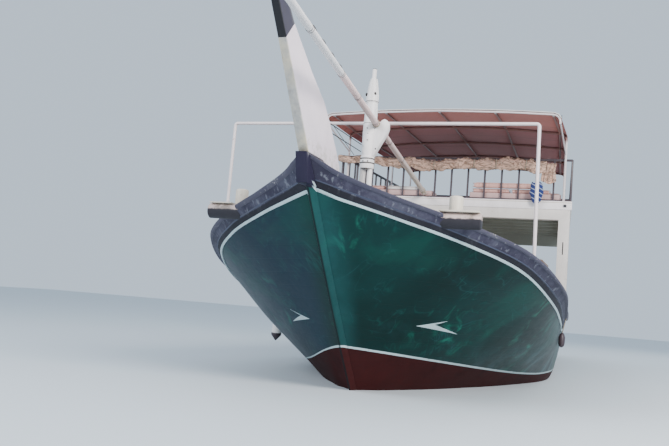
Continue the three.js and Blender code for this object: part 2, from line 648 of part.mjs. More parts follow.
// Front portal and side frames that carry the upper deck
const PORTAL = { back: 740, front: 985, lintelLow: 3800, postIn: 2700, postOut: 2960 };
const plateTop = fasciaLow - GAP;
const portalPost = (sign) => (
  block(PORTAL.back, sign * PORTAL.postIn, 700, PORTAL.front, sign * PORTAL.postOut, plateTop)
);
const lintel = block(
  PORTAL.back, -PORTAL.postOut, PORTAL.lintelLow, PORTAL.front, PORTAL.postOut, plateTop,
);
piece('front_portal', fitSides(join(lintel, portalPost(1), portalPost(-1))), CREAM);
const SIDE_POSTS = [-1300, -3500, -5700];
const POST_SIZE = 120;
for (const [side, sign] of SIDES) {
  const at = (x, z) => V(x, sign * (upperHalf(x) - 190), z);
  const top = bar(at(UPPER_BACK + 80, plateTop - 75), at(PORTAL.back, plateTop - 75), 150, 150);
  const posts = SIDE_POSTS.map((x) => bar(at(x, 700), at(x, plateTop - 40), POST_SIZE, POST_SIZE));
  const ahead = block(PORTAL.back - GAP, -4000, 0, PORTAL.front, 4000, 5000);
  piece(`side_frame_${side}`, fitSides(cut(join(top, ...posts), ahead)), CREAM);
}

// Railings of the upper deck
const railTop = UPPER_TOP + RAIL_HIGH - RAIL_SIZE / 2;
const TOE_HIGH = 40;
const railLine = (a, b, bays, skip = []) => {
  const base = UPPER_TOP + GAP;
  const up = (p, z) => V(p.x, p.y, z);
  const parts = [bar(up(a, railTop), up(b, railTop), RAIL_SIZE, RAIL_SIZE)];
  parts.push(bar(up(a, base + TOE_HIGH / 2), up(b, base + TOE_HIGH / 2), RAIL_SIZE, TOE_HIGH));
  for (let i = 0; i <= bays; i += 1) {
    if (!skip.includes(i)) {
      const p = a.clone().lerp(b, i / bays);
      parts.push(block(
        p.x - BALUSTER_SIZE / 2, p.y - BALUSTER_SIZE / 2, base,
        p.x + BALUSTER_SIZE / 2, p.y + BALUSTER_SIZE / 2, railTop,
      ));
    }
  }
  return join(...parts);
};
const RAIL_INSET = 35;
const corner = (x, sign) => V(x, sign * (upperHalf(x) - RAIL_INSET), 0);
const railFront = UPPER_FRONT - 92;
const railBack = UPPER_BACK + RAIL_INSET;
const RAIL_STEP = (RAIL_SIZE + BALUSTER_SIZE) / 2 + GAP;
piece('rail_front', railLine(corner(railFront, -1), corner(railFront, 1), FRONT_BAYS), DARK);
for (const [side, sign] of SIDES) {
  const a = corner(railFront - RAIL_STEP, sign);
  const b = corner(railBack + RAIL_STEP, sign);
  piece(`rail_${side}`, railLine(a, b, SIDE_BAYS), DARK);
}
const LADDER = { y: -2130, half: 210, topX: -6060, footX: -6950 };
const railAftStart = V(railBack, LADDER.y + LADDER.half + 60, 0);
piece('rail_aft', railLine(railAftStart, corner(railBack, 1), 10), DARK);
const ladderSide = (sign) => bar(
  V(LADDER.footX, LADDER.y + sign * LADDER.half, 1200),
  V(LADDER.topX, LADDER.y + sign * LADDER.half, UPPER_TOP + 20), 40, 110,
);
const RUNGS = 9;
const rungs = Array.from({ length: RUNGS }, (_, i) => {
  const t = (i + 1.2) / (RUNGS + 1);
  const x = lerp(LADDER.footX, LADDER.topX, t);
  const z = lerp(1250, UPPER_TOP, t);
  return block(x - 60, LADDER.y - LADDER.half, z - 15, x + 60, LADDER.y + LADDER.half, z + 15);
});
piece('ladder', fitSides(join(ladderSide(1), ladderSide(-1), ...rungs)), WHITE);

// Awning on pipe hoops, with a front pipe held out over the foredeck by struts
const LEG_INSET = 205;
const legHalf = (x) => upperHalf(x) - LEG_INSET;
const HOOPS = [UPPER_FRONT - PIPE - 3, -900, -2850, AWNING_BACK + 60];
const SHEET = 12;
const PIPE_FLAT = PIPE * Math.cos(Math.PI / 8);
const SHEET_REST = 1.45;
const CORNER_R = 200;
const BEND = HOOPS[0] + 40;            // ahead of this the sheet falls and narrows
const FRONT_FALL = 90;
const FRONT_ARCH = 85;
const FRONT_HALF = 2790;
const deckSection = (x) => ({
  half: legHalf(x) + PIPE_FLAT + SHEET_REST + SHEET, top: AWNING_TOP, arch: AWNING_ARCH,
});
const section = (x) => {
  const base = deckSection(Math.min(x, BEND));
  const t = Math.max(0, (x - BEND) / (AWNING_FRONT - BEND));
  return {
    half: lerp(base.half, FRONT_HALF, t),
    top: base.top - FRONT_FALL * t,
    arch: lerp(base.arch, FRONT_ARCH, t),
  };
};
const CORNER_STEPS = 4;
const HEM_STEPS = 3;                   // corner steps the sheet leaves open below its hem
const awningCurve = (x, inward, first = 0) => {
  const { half, top, arch } = section(x);
  const points = [];
  for (let i = first; i <= CORNER_STEPS; i += 1) {
    const angle = (i / CORNER_STEPS) * (Math.PI / 2);
    const r = CORNER_R - inward;
    points.push([
      half - CORNER_R + r * Math.cos(angle), top - arch - CORNER_R + r * Math.sin(angle),
    ]);
  }
  for (const share of [0.66, 0.33]) {
    points.push([(half - CORNER_R) * share, top - inward - arch * share * share]);
  }
  points.push([0, top - inward]);
  return points;
};
const mirrored = (points) => [
  ...points, ...points.slice(0, -1).reverse().map(([y, z]) => [-y, z]),
];
const awningRing = (x) => {
  const outer = mirrored(awningCurve(x, 0, HEM_STEPS));
  const inner = mirrored(awningCurve(x, SHEET, HEM_STEPS)).reverse();
  return [...outer, ...inner].map(([y, z]) => V(x, y, z));
};
piece('awning', loft([AWNING_FRONT, BEND, -1900, AWNING_BACK].map(awningRing)), BROWN);
const pipeOver = (x, foot, radius) => {
  const flat = radius * Math.cos(Math.PI / 8);
  const curve = mirrored(awningCurve(x, SHEET + flat + SHEET_REST));
  const [y0] = curve[0];
  const path = [[y0, foot], ...curve, [-y0, foot]];
  return mitred(path.map(([y, z]) => V(x, y, z)), radius);
};
const FRONT_PIPE = { x: AWNING_FRONT - 36, r: 24, foot: 5700 };
const STRUT = { r: 18, foot: 5420, top: 5730 };
const BATTEN = { wide: 45, high: 24 };
const battenRun = (share, x0, x1) => {
  const end = (x) => {
    const { half, top, arch } = section(x);
    const y = (half - CORNER_R) * share;
    return V(x, y, top - arch * share * share - SHEET - PIPE);
  };
  return bar(end(x0), end(x1), BATTEN.wide, BATTEN.high);
};
const battens = [-1, -0.5, 0, 0.5, 1].flatMap((share) => [
  battenRun(share, HOOPS[3], HOOPS[0]), battenRun(share, HOOPS[0], FRONT_PIPE.x),
]);
const struts = [1, -1].map((sign) => rod(
  V(HOOPS[0], sign * legHalf(HOOPS[0]), STRUT.foot),
  V(FRONT_PIPE.x, sign * (section(FRONT_PIPE.x).half - SHEET - FRONT_PIPE.r), STRUT.top),
  STRUT.r, STRUT.r, 8,
));
piece('awning_frame', join(
  ...HOOPS.map((x) => pipeOver(x, UPPER_TOP + GAP, PIPE)),
  pipeOver(FRONT_PIPE.x, FRONT_PIPE.foot, FRONT_PIPE.r), ...struts, ...battens,
), WHITE);

// Curtain furled on the front rail, with a tied tail at its port end
const CURTAIN = { x: HOOPS[0] + PIPE_FLAT + GAP + 78, deep: 78, high: 205, z: 5120 };
const curtainPart = (y0, y1, wide, high, z) => {
  const shape = new THREE.Shape();
  shape.absellipse(0, 0, wide, high, 0, 2 * Math.PI, false, 0);
  const geometry = new THREE.ExtrudeGeometry(shape, { depth: y1 - y0, bevelEnabled: false, curveSegments: 6 });
  geometry.rotateX(Math.PI / 2);
  return geometry.translate(CURTAIN.x, y1, z);
};
const curtainTail = bar(
  V(CURTAIN.x, 2480, CURTAIN.z + 40), V(CURTAIN.x, 2500, 4660), 260, 2 * CURTAIN.deep - 8,
);
const curtainRoll = curtainPart(-3050, 2620, CURTAIN.deep, CURTAIN.high, CURTAIN.z);
piece('curtain', join(curtainRoll, curtainTail), CANVAS);

// Benches and cushions on the upper deck
const SEAT_HIGH = 180;
const seatTop = UPPER_TOP + SEAT_HIGH;
for (const [side, sign] of SIDES) {
  const out = (x) => sign * (upperHalf(x) - 270);
  const plan = [
    [860, sign * 480], [860, out(860)], [-4500, out(-4500)],
    [-4500, out(-4500) - sign * 480], [330, out(330) - sign * 480], [330, sign * 480],
  ];
  piece(`upper_bench_${side}`, plate(plan, UPPER_TOP + GAP, seatTop), CREAM);
  const pad = [
    [850, sign * 500], [850, out(850) - sign * 20], [-4490, out(-4490) - sign * 20],
    [-4490, out(-4490) - sign * 470], [340, out(340) - sign * 470], [340, sign * 500],
  ];
  piece(`upper_cushion_${side}`, plate(pad, seatTop + GAP, seatTop + 120), CUSHION);
}

// Benches and cushions on the main deck
const MAIN_SEAT = 1500;
for (const [side, sign] of SIDES) {
  const out = (x) => sign * (upperHalf(x) - 290);
  const ends = [450, -5200];
  const plan = (inset) => [
    [ends[0] - inset, out(ends[0]) - sign * inset], [ends[1] + inset, out(ends[1]) - sign * inset],
    [ends[1] + inset, out(ends[1]) - sign * (450 - inset)],
    [ends[0] - inset, out(ends[0]) - sign * (450 - inset)],
  ];
  piece(`main_bench_${side}`, fitSides(plate(plan(0), 700, MAIN_SEAT)), CREAM);
  piece(`main_cushion_${side}`, plate(plan(10), MAIN_SEAT + GAP, MAIN_SEAT + 90), CUSHION);
}

// Wheelhouse on the after deck
const HOUSE = { front: -6300, back: -8950, half: 1700, top: 3250, wall: 45 };
const { front: houseFront, back: houseBack, half: houseHalf, wall } = HOUSE;
const windowHole = (x0, y0, x1, y1) => block(x0, y0, 2380, x1, y1, 2950);
const frontWall = block(houseFront - wall, -houseHalf, 900, houseFront, houseHalf, HOUSE.top);
const frontWindows = [-1100, 0, 1100].map((y) => (
  windowHole(houseFront - 200, y - 420, houseFront + 200, y + 420)
));
piece('wheelhouse_front', fitDeck(cut(frontWall, ...frontWindows)), WHITE);
const backWall = block(houseBack, -houseHalf, 900, houseBack + wall, houseHalf, HOUSE.top);
const backWindows = [-700, 700].map((y) => (
  windowHole(houseBack - 200, y - 350, houseBack + 200, y + 350)
));
piece('wheelhouse_back', fitDeck(cut(backWall, ...backWindows)), WHITE);
const DOOR = { hinge: -7790, width: 640, low: 1560, high: 3150, thick: 40, gap: 6 };
// Door hinges: a pin on a lug of the wall, and a strap with an eye on the leaf
const HINGE = { out: 16, back: 3, pin: 8, bore: 8.6, eye: 15, high: 50, strap: 170 };
const HINGE_HEIGHTS = [1720, 2300, 2980];
const hingeX = DOOR.hinge - HINGE.back;
const hingeRod = (y, z0, z1, r, sides = 12) => rod(V(hingeX, y, z0), V(hingeX, y, z1), r, r, sides);
for (const [side, sign] of SIDES) {
  const face = sign * houseHalf;
  const inside = sign * (houseHalf - wall);
  const y = (out) => face + sign * out;
  const sideWall = block(
    houseBack + wall + GAP, inside, 900, houseFront - wall - GAP, face, HOUSE.top,
  );
  const doorway = block(
    DOOR.hinge - DOOR.gap, y(-150), DOOR.low - DOOR.gap,
    DOOR.hinge + DOOR.width + DOOR.gap, y(100), DOOR.high + DOOR.gap,
  );
  const sideWindow = windowHole(-8600, y(-150), -8050, y(100));
  const pins = HINGE_HEIGHTS.flatMap((z) => [
    block(hingeX - 50, y(-1), z - 60, hingeX - HINGE.back, y(25), z - GAP),
    block(hingeX - HINGE.back - 1, y(6), z - 60, hingeX + 9, y(25), z - GAP),
    hingeRod(y(HINGE.out), z - 50, z + HINGE.high + 8, HINGE.pin),
  ]);
  const wallBody = join(cut(sideWall, doorway, sideWindow), ...pins);
  piece(`wheelhouse_${side}`, fitDeck(wallBody), WHITE);
  const leaf = block(
    DOOR.hinge, y(-DOOR.thick), DOOR.low, DOOR.hinge + DOOR.width, face, DOOR.high,
  );
  const pane = block(
    DOOR.hinge + 110, y(-200), 2380, DOOR.hinge + DOOR.width - 110, y(200), 2950,
  );
  const straps = HINGE_HEIGHTS.flatMap((z) => [
    block(hingeX + 5, y(-1), z, hingeX + HINGE.strap, y(8), z + HINGE.high),
    block(hingeX + 5, y(2), z, hingeX + 24, y(30), z + HINGE.high),
    hingeRod(y(HINGE.out), z, z + HINGE.high, HINGE.eye, 16),
  ]);
  const bores = HINGE_HEIGHTS.map((z) => (
    hingeRod(y(HINGE.out), z - 20, z + HINGE.high + 20, HINGE.bore)
  ));
  piece(`door_${side}`, cut(join(cut(leaf, pane), ...straps), ...bores), TEAK);
}
const ROOF_OVER = 120;
piece('wheelhouse_roof', plate([
  [houseFront + ROOF_OVER, -houseHalf - ROOF_OVER], [houseFront + ROOF_OVER, houseHalf + ROOF_OVER],
  [houseBack - ROOF_OVER, houseHalf + ROOF_OVER], [houseBack - ROOF_OVER, -houseHalf - ROOF_OVER],
], HOUSE.top + GAP, HOUSE.top + 70), WHITE);

// Helm wheel on its pedestal
const HELM = { x: -6900, z: 2300, r: 330 };
const pedestal = join(
  block(HELM.x + 30, -110, 1000, HELM.x + 260, 110, 2220),
  rod(V(HELM.x + 20, 0, HELM.z), V(HELM.x + 260, 0, HELM.z), 90, 90, 16),
);
piece('helm_pedestal', fitDeck(pedestal), TEAK);
const rim = new THREE.TorusGeometry(HELM.r - 40, 20, 6, 24).rotateY(Math.PI / 2);
rim.translate(HELM.x - 40, 0, HELM.z);
const spokes = Array.from({ length: 4 }, (_, i) => {
  const angle = (i * Math.PI) / 4;
  const arm = V(0, Math.cos(angle), Math.sin(angle)).multiplyScalar(HELM.r + 60);
  const centre = V(HELM.x - 40, 0, HELM.z);
  return rod(centre.clone().sub(arm), centre.clone().add(arm), 14, 14, 8);
});
const boss = rod(V(HELM.x - 85, 0, HELM.z), V(HELM.x + 20 - GAP, 0, HELM.z), 55, 55, 16);
piece('helm_wheel', join(rim, ...spokes, boss), TEAK);

// Fore hatch with a lid on two hinges at its after edge
const HATCH = { front: 6200, back: 5300, half: 450, top: 1760, wall: 45, lid: 45, gap: 5.5 };
const KNUCKLE = { x: HATCH.back - 16, z: HATCH.top + 28, at: [-300, 300] };
const knuckleRod = (y0, y1, r, sides = 12) => (
  rod(V(KNUCKLE.x, y0, KNUCKLE.z), V(KNUCKLE.x, y1, KNUCKLE.z), r, r, sides)
);
const hatchBox = cut(
  block(HATCH.back, -HATCH.half, 1000, HATCH.front, HATCH.half, HATCH.top),
  block(HATCH.back + HATCH.wall, -HATCH.half + HATCH.wall, 900,
    HATCH.front - HATCH.wall, HATCH.half - HATCH.wall, HATCH.top + 50),
);
const hatchLugs = KNUCKLE.at.flatMap((y) => [
  block(HATCH.back - 28, y - 40, HATCH.top - 80, HATCH.back + 1, y - 16, HATCH.top - 5),
  block(HATCH.back - 28, y - 40, HATCH.top - 10, HATCH.back - 5, y - 16, KNUCKLE.z + 10),
  knuckleRod(y - 40, y + 20, HINGE.pin),
]);
piece('hatch_coaming', fitDeck(join(hatchBox, ...hatchLugs)), TEAK);
const lidBoard = block(
  HATCH.back, -HATCH.half - 30, HATCH.top + HATCH.gap,
  HATCH.front + 30, HATCH.half + 30, HATCH.top + HATCH.gap + HATCH.lid,
);
const lidEyes = KNUCKLE.at.flatMap((y) => [
  knuckleRod(y - 15.6, y + 15, HINGE.eye, 16),
  block(KNUCKLE.x, y - 15.6, KNUCKLE.z - 12, HATCH.back + 1, y + 15, KNUCKLE.z + 12),
]);
const lidBores = KNUCKLE.at.map((y) => knuckleRod(y - 30, y + 30, HINGE.bore));
piece('hatch_lid', cut(join(lidBoard, ...lidEyes), ...lidBores), TEAK);

export default boat;
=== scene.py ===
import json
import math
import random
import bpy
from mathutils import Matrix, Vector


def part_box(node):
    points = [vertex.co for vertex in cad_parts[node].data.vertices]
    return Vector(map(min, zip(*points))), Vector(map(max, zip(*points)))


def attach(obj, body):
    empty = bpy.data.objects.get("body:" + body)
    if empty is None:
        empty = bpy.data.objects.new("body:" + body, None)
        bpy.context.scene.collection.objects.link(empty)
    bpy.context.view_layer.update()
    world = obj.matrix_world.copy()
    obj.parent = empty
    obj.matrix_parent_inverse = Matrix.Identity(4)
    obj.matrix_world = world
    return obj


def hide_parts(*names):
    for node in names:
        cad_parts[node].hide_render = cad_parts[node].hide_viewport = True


bl_info = {
    "name": "Dhow passenger boat",
    "version": (1, 0, 0),
    "blender": (4, 5, 0),
    "location": "View3D > Sidebar > Dhow",
    "description": "Builds a painted wooden dhow with its awning deck, spar and wheelhouse",
    "category": "Add Mesh",
}

import bpy
from bpy.props import FloatProperty, FloatVectorProperty, PointerProperty
from mathutils import Matrix, Vector

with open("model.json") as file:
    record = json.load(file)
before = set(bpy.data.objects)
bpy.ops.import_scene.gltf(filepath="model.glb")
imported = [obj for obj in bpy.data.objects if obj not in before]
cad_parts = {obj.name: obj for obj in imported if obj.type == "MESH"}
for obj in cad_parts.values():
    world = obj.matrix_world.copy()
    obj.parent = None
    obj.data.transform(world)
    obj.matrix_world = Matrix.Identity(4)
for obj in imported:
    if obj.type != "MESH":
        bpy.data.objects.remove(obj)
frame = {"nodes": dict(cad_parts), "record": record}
BODY_OF = {node: body for body, nodes in frame["record"]["behaviour"]["bodies"].items()
           for node in nodes}
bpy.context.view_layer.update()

# Hull lines in metres: one row a station, from the transom to the stem
COLUMNS = ("top", "foot", "rabbet_z", "bilge_y", "bilge_z", "water_y", "water_z",
           "wing_y", "wing_z", "sheer_y", "sheer_z", "cap_y", "cap_z", "deck_drop")
STEM_HALF = 0.07
LINES = (
    (-10.35, -9.6, -0.1, 0.8, 0.13, 1.4, 0.43, 1.9, 1.02, 2.16, 1.72, 2.195, 1.99, 0.18),
    (-8.6, -8.5, -0.7, 0.7, -0.28, 1.75, 0.12, 2.23, 0.85, 2.4, 1.56, 2.465, 1.8, 0.18),
    (-6.5, -6.5, -1.1, 1.05, -0.64, 2.15, 0, 2.48, 0.76, 2.59, 1.38, 2.665, 1.61, 0.18),
    (-4.0, -4.0, -1.25, 1.45, -0.88, 2.42, 0, 2.64, 0.7, 2.72, 1.25, 2.795, 1.47, 0.18),
    (-1.0, -1.0, -1.28, 1.7, -0.96, 2.58, 0, 2.76, 0.68, 2.83, 1.17, 2.905, 1.38, 0.18),
    (2.0, 2.0, -1.26, 1.65, -0.94, 2.64, 0, 2.86, 0.72, 2.93, 1.19, 3.015, 1.4, 0.18),
    (4.5, 4.0, -1.24, 1.25, -0.85, 2.06, 0, 2.86, 0.86, 3.04, 1.38, 3.135, 1.58, 0.18),
    (6.6, 5.4, -1.22, 0.75, -0.74, 1.4, 0, 2.5, 1.06, 3.01, 1.69, 3.165, 1.88, 0.18),
    (8.2, 6.1, -1.22, 0.43, -0.68, 0.94, 0, 1.8, 1.2, 2.64, 2.12, 2.755, 2.325, 0.19),
    (9.3, 6.49, -1.23, 0.26, -0.64, 0.6, 0, 1.18, 1.32, 1.92, 2.42, 1.95, 2.63, 0.21),
    (10.1, 6.71, -1.25, 0.17, -0.62, 0.38, 0, 0.64, 1.4, 1.08, 2.66, 1.02, 2.89, 0.23),
    (10.6, 6.8, -1.28, 0.11, -0.62, 0.2, 0, 0.3, 1.45, 0.42, 2.83, 0.372, 3.11, 0.15),
    (10.85, 6.85, -1.35, STEM_HALF, -0.62, STEM_HALF, 0, STEM_HALF, 1.45, STEM_HALF, 2.915,
     STEM_HALF, 3.3, 0.01),
)
STEM_BOW = 0.03
SIDE_STEPS = 40
BULWARK_THICK = 0.085
CAP_WIDTH = 0.19
CAP_THICK = 0.06
STRIPE_HIGH = 0.038
MOULDING_PROUD = 0.022
# Where the port stripe starts to rise at the stem, over what length and how far
STRIPE_RISE_FROM, STRIPE_RISE_LONG, STRIPE_RISE = 10.68, 0.17, 0.027
WELL_INSET = 0.09

# Boot line: its height aft, its rise towards the stem, where that starts and ends and how sharply,
# and the line's own width; on the starboard side, how much thinner it is, how much lower, and how
# far out from the stem it is fully down
BOOT_LOW = 0.2
BOOT_RISE = 0.52
BOOT_FROM = 3.0
BOOT_TO = 9.0
BOOT_POWER = 1.5
BOOT_HIGH = 0.032
BOOT_THINNER = 0.013
BOOT_STARBOARD_DROP = 0.145
BOOT_STARBOARD_OUT = -1.2


def column(name, at):
    """A column's smooth value at a row number that may lie between rows."""
    k = COLUMNS.index(name)
    i = min(int(at), len(LINES) - 2)
    t = at - i
    before, start, end, after = (
        LINES[min(max(j, 0), len(LINES) - 1)][k] for j in range(i - 1, i + 3))
    rise, fall = (end - before) / 2, (after - start) / 2
    return ((2 * t ** 3 - 3 * t ** 2 + 1) * start + (t ** 3 - 2 * t ** 2 + t) * rise
            + (3 * t ** 2 - 2 * t ** 3) * end + (t ** 3 - t ** 2) * fall)


def centripetal(points, steps):
    """Points on a centripetal spline through 2-D points, evenly in its parameter."""
    out = []
    n = len(points) - 1
    for s in range(steps + 1):
        at = s * n / steps
        i = min(int(at), n - 1)
        t = at - i
        p1, p2 = points[i], points[i + 1]
        p0 = points[i - 1] if i else 2 * p1 - p2
        p3 = points[i + 2] if i + 2 <= n else 2 * p2 - p1
        d0, d1, d2 = ((b - a).length ** 0.5 for a, b in ((p0, p1), (p1, p2), (p2, p3)))
        m1 = ((p1 - p0) / d0 - (p2 - p0) / (d0 + d1) + (p2 - p1) / d1) * d1
        m2 = ((p2 - p1) / d1 - (p3 - p1) / (d1 + d2) + (p3 - p2) / d2) * d1
        out.append((2 * t ** 3 - 3 * t ** 2 + 1) * p1 + (t ** 3 - 2 * t ** 2 + t) * m1
                   + (3 * t ** 2 - 2 * t ** 3) * p2 + (t ** 3 - t ** 2) * m2)
    return out


class Station:
    """One leaning cross-section of the hull."""

    def __init__(self, at):
        for name in COLUMNS:
            setattr(self, name, column(name, at))
        corners = [Vector(p) for p in (
            (min(STEM_HALF, self.bilge_y), self.rabbet_z), (self.bilge_y, self.bilge_z),
            (self.water_y, self.water_z), (self.wing_y, self.wing_z),
            (self.sheer_y, self.sheer_z))]
        self.side = centripetal(corners, SIDE_STEPS)
        self.deck_z = self.sheer_z - self.deck_drop

    def x_at(self, z):
        t = (z - self.rabbet_z) / (self.sheer_z - self.rabbet_z)
        bow = STEM_BOW * math.sin(math.pi * t) if self.top > 0 and 0 < t < 1 else 0
        return self.foot + (self.top - self.foot) * (t + bow)

    def point(self, y, z):
        return Vector((self.x_at(z), y, z))

    def breadth(self, z):
        """Half-breadth of the planking at a height."""
        for low, high in zip(self.side, self.side[1:]):
            if low.y <= z <= high.y:
                return low.x + (high.x - low.x) * (z - low.y) / (high.y - low.y)
        return self.side[-1].x if z > self.side[-1].y else self.side[0].x

    def cap_outer(self):
        return self.cap_y + min(0.045, (self.cap_y - STEM_HALF) * 0.3)

    def cap_inner(self):
        return max(self.cap_outer() - CAP_WIDTH, 0.003)


# Crossbeam, pipe frame, mast, spar, awning and curtain, as the frame has them
CROSSBEAM_X, CROSSBEAM_Z, CROSSBEAM_HALF = 9.65, 2.71, 2.16
BITT_X, BITT_Y = 9.42, 1.74
PIPE_X, PIPE_FOOT_Y, PIPE_TOP = 7.9, 2.765, 4.549
MAST_X = 8.4
SPAR_FOOT, SPAR_LONG = 0.93, 12.97
SPAR_HEEL, SPAR_TIP = 0.060, 0.045
SPAR_BANDS = (12.96, 11.27, 10.12, 8.59, 7.05, 5.39)
AWNING_FRONT, AWNING_BACK, AWNING_BEND = 3.05, -4.9, 1.007
AWNING_HOOPS = (3.014, 0.967, -0.9, -2.85, -4.84)
AWNING_TOP, AWNING_FRONT_DROP, AWNING_FRONT_HALF = 6.13, 0.09, 2.79
AWNING_ARCH, AWNING_FRONT_ARCH = 0.15, 0.085
# Share of the half-breadth where the cloth turns down, and the bend's own radius there
AWNING_TURN, AWNING_CORNER = 0.88, 0.2
CURTAIN_TOP = ((-3.05, 5.325), (-1.8, 5.30), (-0.2, 5.24), (0.6, 5.30), (1.6, 5.325),
               (2.35, 5.26))
CURTAIN_LOW = ((-3.05, 5.10), (-2.4, 5.06), (-1.8, 5.01), (-1.2, 4.93), (-0.7, 4.88),
               (-0.2, 4.92), (0.4, 4.95), (0.9, 4.94), (1.4, 4.93), (1.7, 4.95), (2.16, 4.88),
               (2.35, 4.86))
CURTAIN_TIES = (-2.064, -1.28, -0.437, 0.587, 1.136, 1.869)
CURTAIN_X, CURTAIN_START, CURTAIN_LONG, CURTAIN_TURNS = 1.073, -3.04, 5.40, 1.32
# Cushions: mesh cell, how far the filling may push a point, and the radius of the corners
PAD_CELL, PAD_SWELL, PAD_CORNER = 0.018, 0.014, 0.06


def spar_point(x):
    """The spar's centre at a place along the boat."""
    t = (x - SPAR_FOOT) / (MAST_X - SPAR_FOOT)
    return Vector((x, -0.673 + 0.805 * t, 4.3608 + 0.0492 * t))


def spar_radius(x):
    """The spar's radius at a place along the boat; it thins towards the tip."""
    return SPAR_HEEL + (SPAR_TIP - SPAR_HEEL) * (x - SPAR_FOOT) / SPAR_LONG


def house_half(x):
    """Half-breadth of the upper deck at a place along the boat."""
    return 2.64 + 0.36 * (x + 6) / 7


def mast_y(z):
    """How far the mast leans to port at a height."""
    return 0.008 + 0.015 * (z - 3.66) / 1.7


def rudder_axis(z):
    """The rudder post's place along the boat at a height; it rakes aft."""
    return -9.25 - 0.36 * (z + 1.78) - 0.05


# Yaw, pitch and roll of the camera in degrees
CAMERA_TURNS = (-19.08, 5.45, 4.49)
# Sections drawn between two rows of the hull's lines
FINE = 8
STATIONS = [Station(i / FINE) for i in range((len(LINES) - 1) * FINE + 1)]
# Painted arrows on the planking, as outlines of (x, z)
ARROWS = {
    "port": ((8.432, 1.133), (8.115, 1.244), (8.215, 1.172), (7.695, 1.037)),
    "starboard": ((8.785, 1.108), (8.455, 1.228), (8.63, 1.151), (8.147, 1.028)),
}
SIDES = (("port", 1), ("starboard", -1))


# Shader maths

class Shade:
    """A shader value; Python's operators on it add Math nodes."""

    def __init__(self, recipe, socket):
        self.recipe = recipe
        self.socket = socket

    def __add__(self, other):
        return self.recipe.maths("ADD", self, other)

    def __radd__(self, other):
        return self.recipe.maths("ADD", other, self)

    def __sub__(self, other):
        return self.recipe.maths("SUBTRACT", self, other)

    def __rsub__(self, other):
        return self.recipe.maths("SUBTRACT", other, self)

    def __mul__(self, other):
        return self.recipe.maths("MULTIPLY", self, other)

    def __rmul__(self, other):
        return self.recipe.maths("MULTIPLY", other, self)

    def __truediv__(self, other):
        return self.recipe.maths("DIVIDE", self, other)

    def __pow__(self, other):
        return self.recipe.maths("POWER", self, other)

    def fract(self):
        return self.recipe.maths("FRACT", self)

    def size(self):
        return self.recipe.maths("ABSOLUTE", self)

    def least(self, other):
        return self.recipe.maths("MINIMUM", self, other)

    def most(self, other):
        return self.recipe.maths("MAXIMUM", self, other)

    def ramp(self, low, high):
        """0 below low, 1 above high and smooth between; low may be the larger."""
        return self.recipe.node(
            "ShaderNodeMapRange", {"interpolation_type": "SMOOTHSTEP"},
            {"Value": self, "From Min": low, "From Max": high})["Result"]


class Recipe:
    """A procedural material on object coordinates."""

    def __init__(self, name, metallic=0.0, coat=0.0, coat_roughness=0.2, sheen=0.0,
                 specular=0.5):
        self.material = bpy.data.materials.new(name)
        self.material.use_nodes = True
        self.tree = self.material.node_tree
        self.shader = self.tree.nodes["Principled BSDF"]
        for socket, value in (("Metallic", metallic), ("Coat Weight", coat),
                              ("Coat Roughness", coat_roughness), ("Sheen Weight", sheen),
                              ("Specular IOR Level", specular)):
            self.shader.inputs[socket].default_value = value
        self.where = self.node("ShaderNodeTexCoord")["Object"]
        parts = self.node("ShaderNodeSeparateXYZ", {}, {"Vector": self.where})
        self.x, self.y, self.z = parts["X"], parts["Y"], parts["Z"]

    def node(self, kind, settings=None, values=None):
        """Adds a node: settings first, then its sockets' values or links, by identifier."""
        made = self.tree.nodes.new(kind)
        for key, value in (settings or {}).items():
            setattr(made, key, value)
        sockets = {s.identifier: s for s in made.inputs}
        for key, value in (values or {}).items():
            if isinstance(value, Shade):
                self.tree.links.new(value.socket, sockets[key])
            elif sockets[key].type == "RGBA":
                sockets[key].default_value = (*value, 1)
            else:
                sockets[key].default_value = value
        return {s.identifier: Shade(self, s) for s in made.outputs}

    def maths(self, operation, *terms):
        return self.node("ShaderNodeMath", {"operation": operation},
                         dict(zip(("Value", "Value_001"), terms)))["Value"]

    def noise(self, scale, detail, roughness, stretch=None, distortion=0.0):
        spot = self.where
        if stretch:
            spot = self.node("ShaderNodeMapping", {}, {"Vector": spot, "Scale": stretch})["Vector"]
        return self.node("ShaderNodeTexNoise", {}, {
            "Vector": spot, "Scale": scale, "Detail": detail, "Roughness": roughness,
            "Distortion": distortion})["Fac"]

    def mix(self, share, first, second):
        return self.node("ShaderNodeMix", {"data_type": "RGBA"}, {
            "Factor_Float": share, "A_Color": first, "B_Color": second})["Result_Color"]

    def tint(self, color, value):
        """The colour made lighter or darker by a factor that varies."""
        return self.node("ShaderNodeHueSaturation", {}, {"Color": color, "Value": value})["Color"]

    def finish(self, color, roughness, height, distance):
        """Links the colour, the roughness and a bump of the given depth, in metres."""
        bump = self.node("ShaderNodeBump", {}, {"Height": height, "Distance": distance,
                                                "Strength": 1.0})["Normal"]
        for name, value in (("Base Color", color), ("Roughness", roughness), ("Normal", bump)):
            self.tree.links.new(value.socket, self.shader.inputs[name])
        return self.material


# Painted light that the topsides show beside their own colour: painted shade and reflection on the
# starboard side, a lighter teal haze (painted reflection in patches, and also the colour of the
# scratches and of the band by the stem) and painted emerald glints
STARBOARD_SHADE = (0.003, 0.017, 0.034)
HAZE = (0.014, 0.078, 0.080)
GLINT = (0.010, 0.260, 0.165)
# The stem's rabbet where it is 1 m up, and its slope above that
STEM_AT_ONE = 9.172
STEM_SLOPE = 0.876
# Foot of the stemhead board's fore edge and the rake of that edge; a point on the lower edge of
# its navy top and that edge's slope
BOARD_FOOT = (11.28, 3.368)
BOARD_RAKE = 0.8333
BOARD_TOP = (12.3, 4.58)
BOARD_TOP_SLOPE = 1.083
# Where the stem's dark head starts, and where the ends of the sheer stripe cross its sides
HEAD_FROM = 2.93
STRIPE_END_X, STRIPE_END_PORT, STRIPE_END_STARBOARD = 10.84, 2.918, 2.889


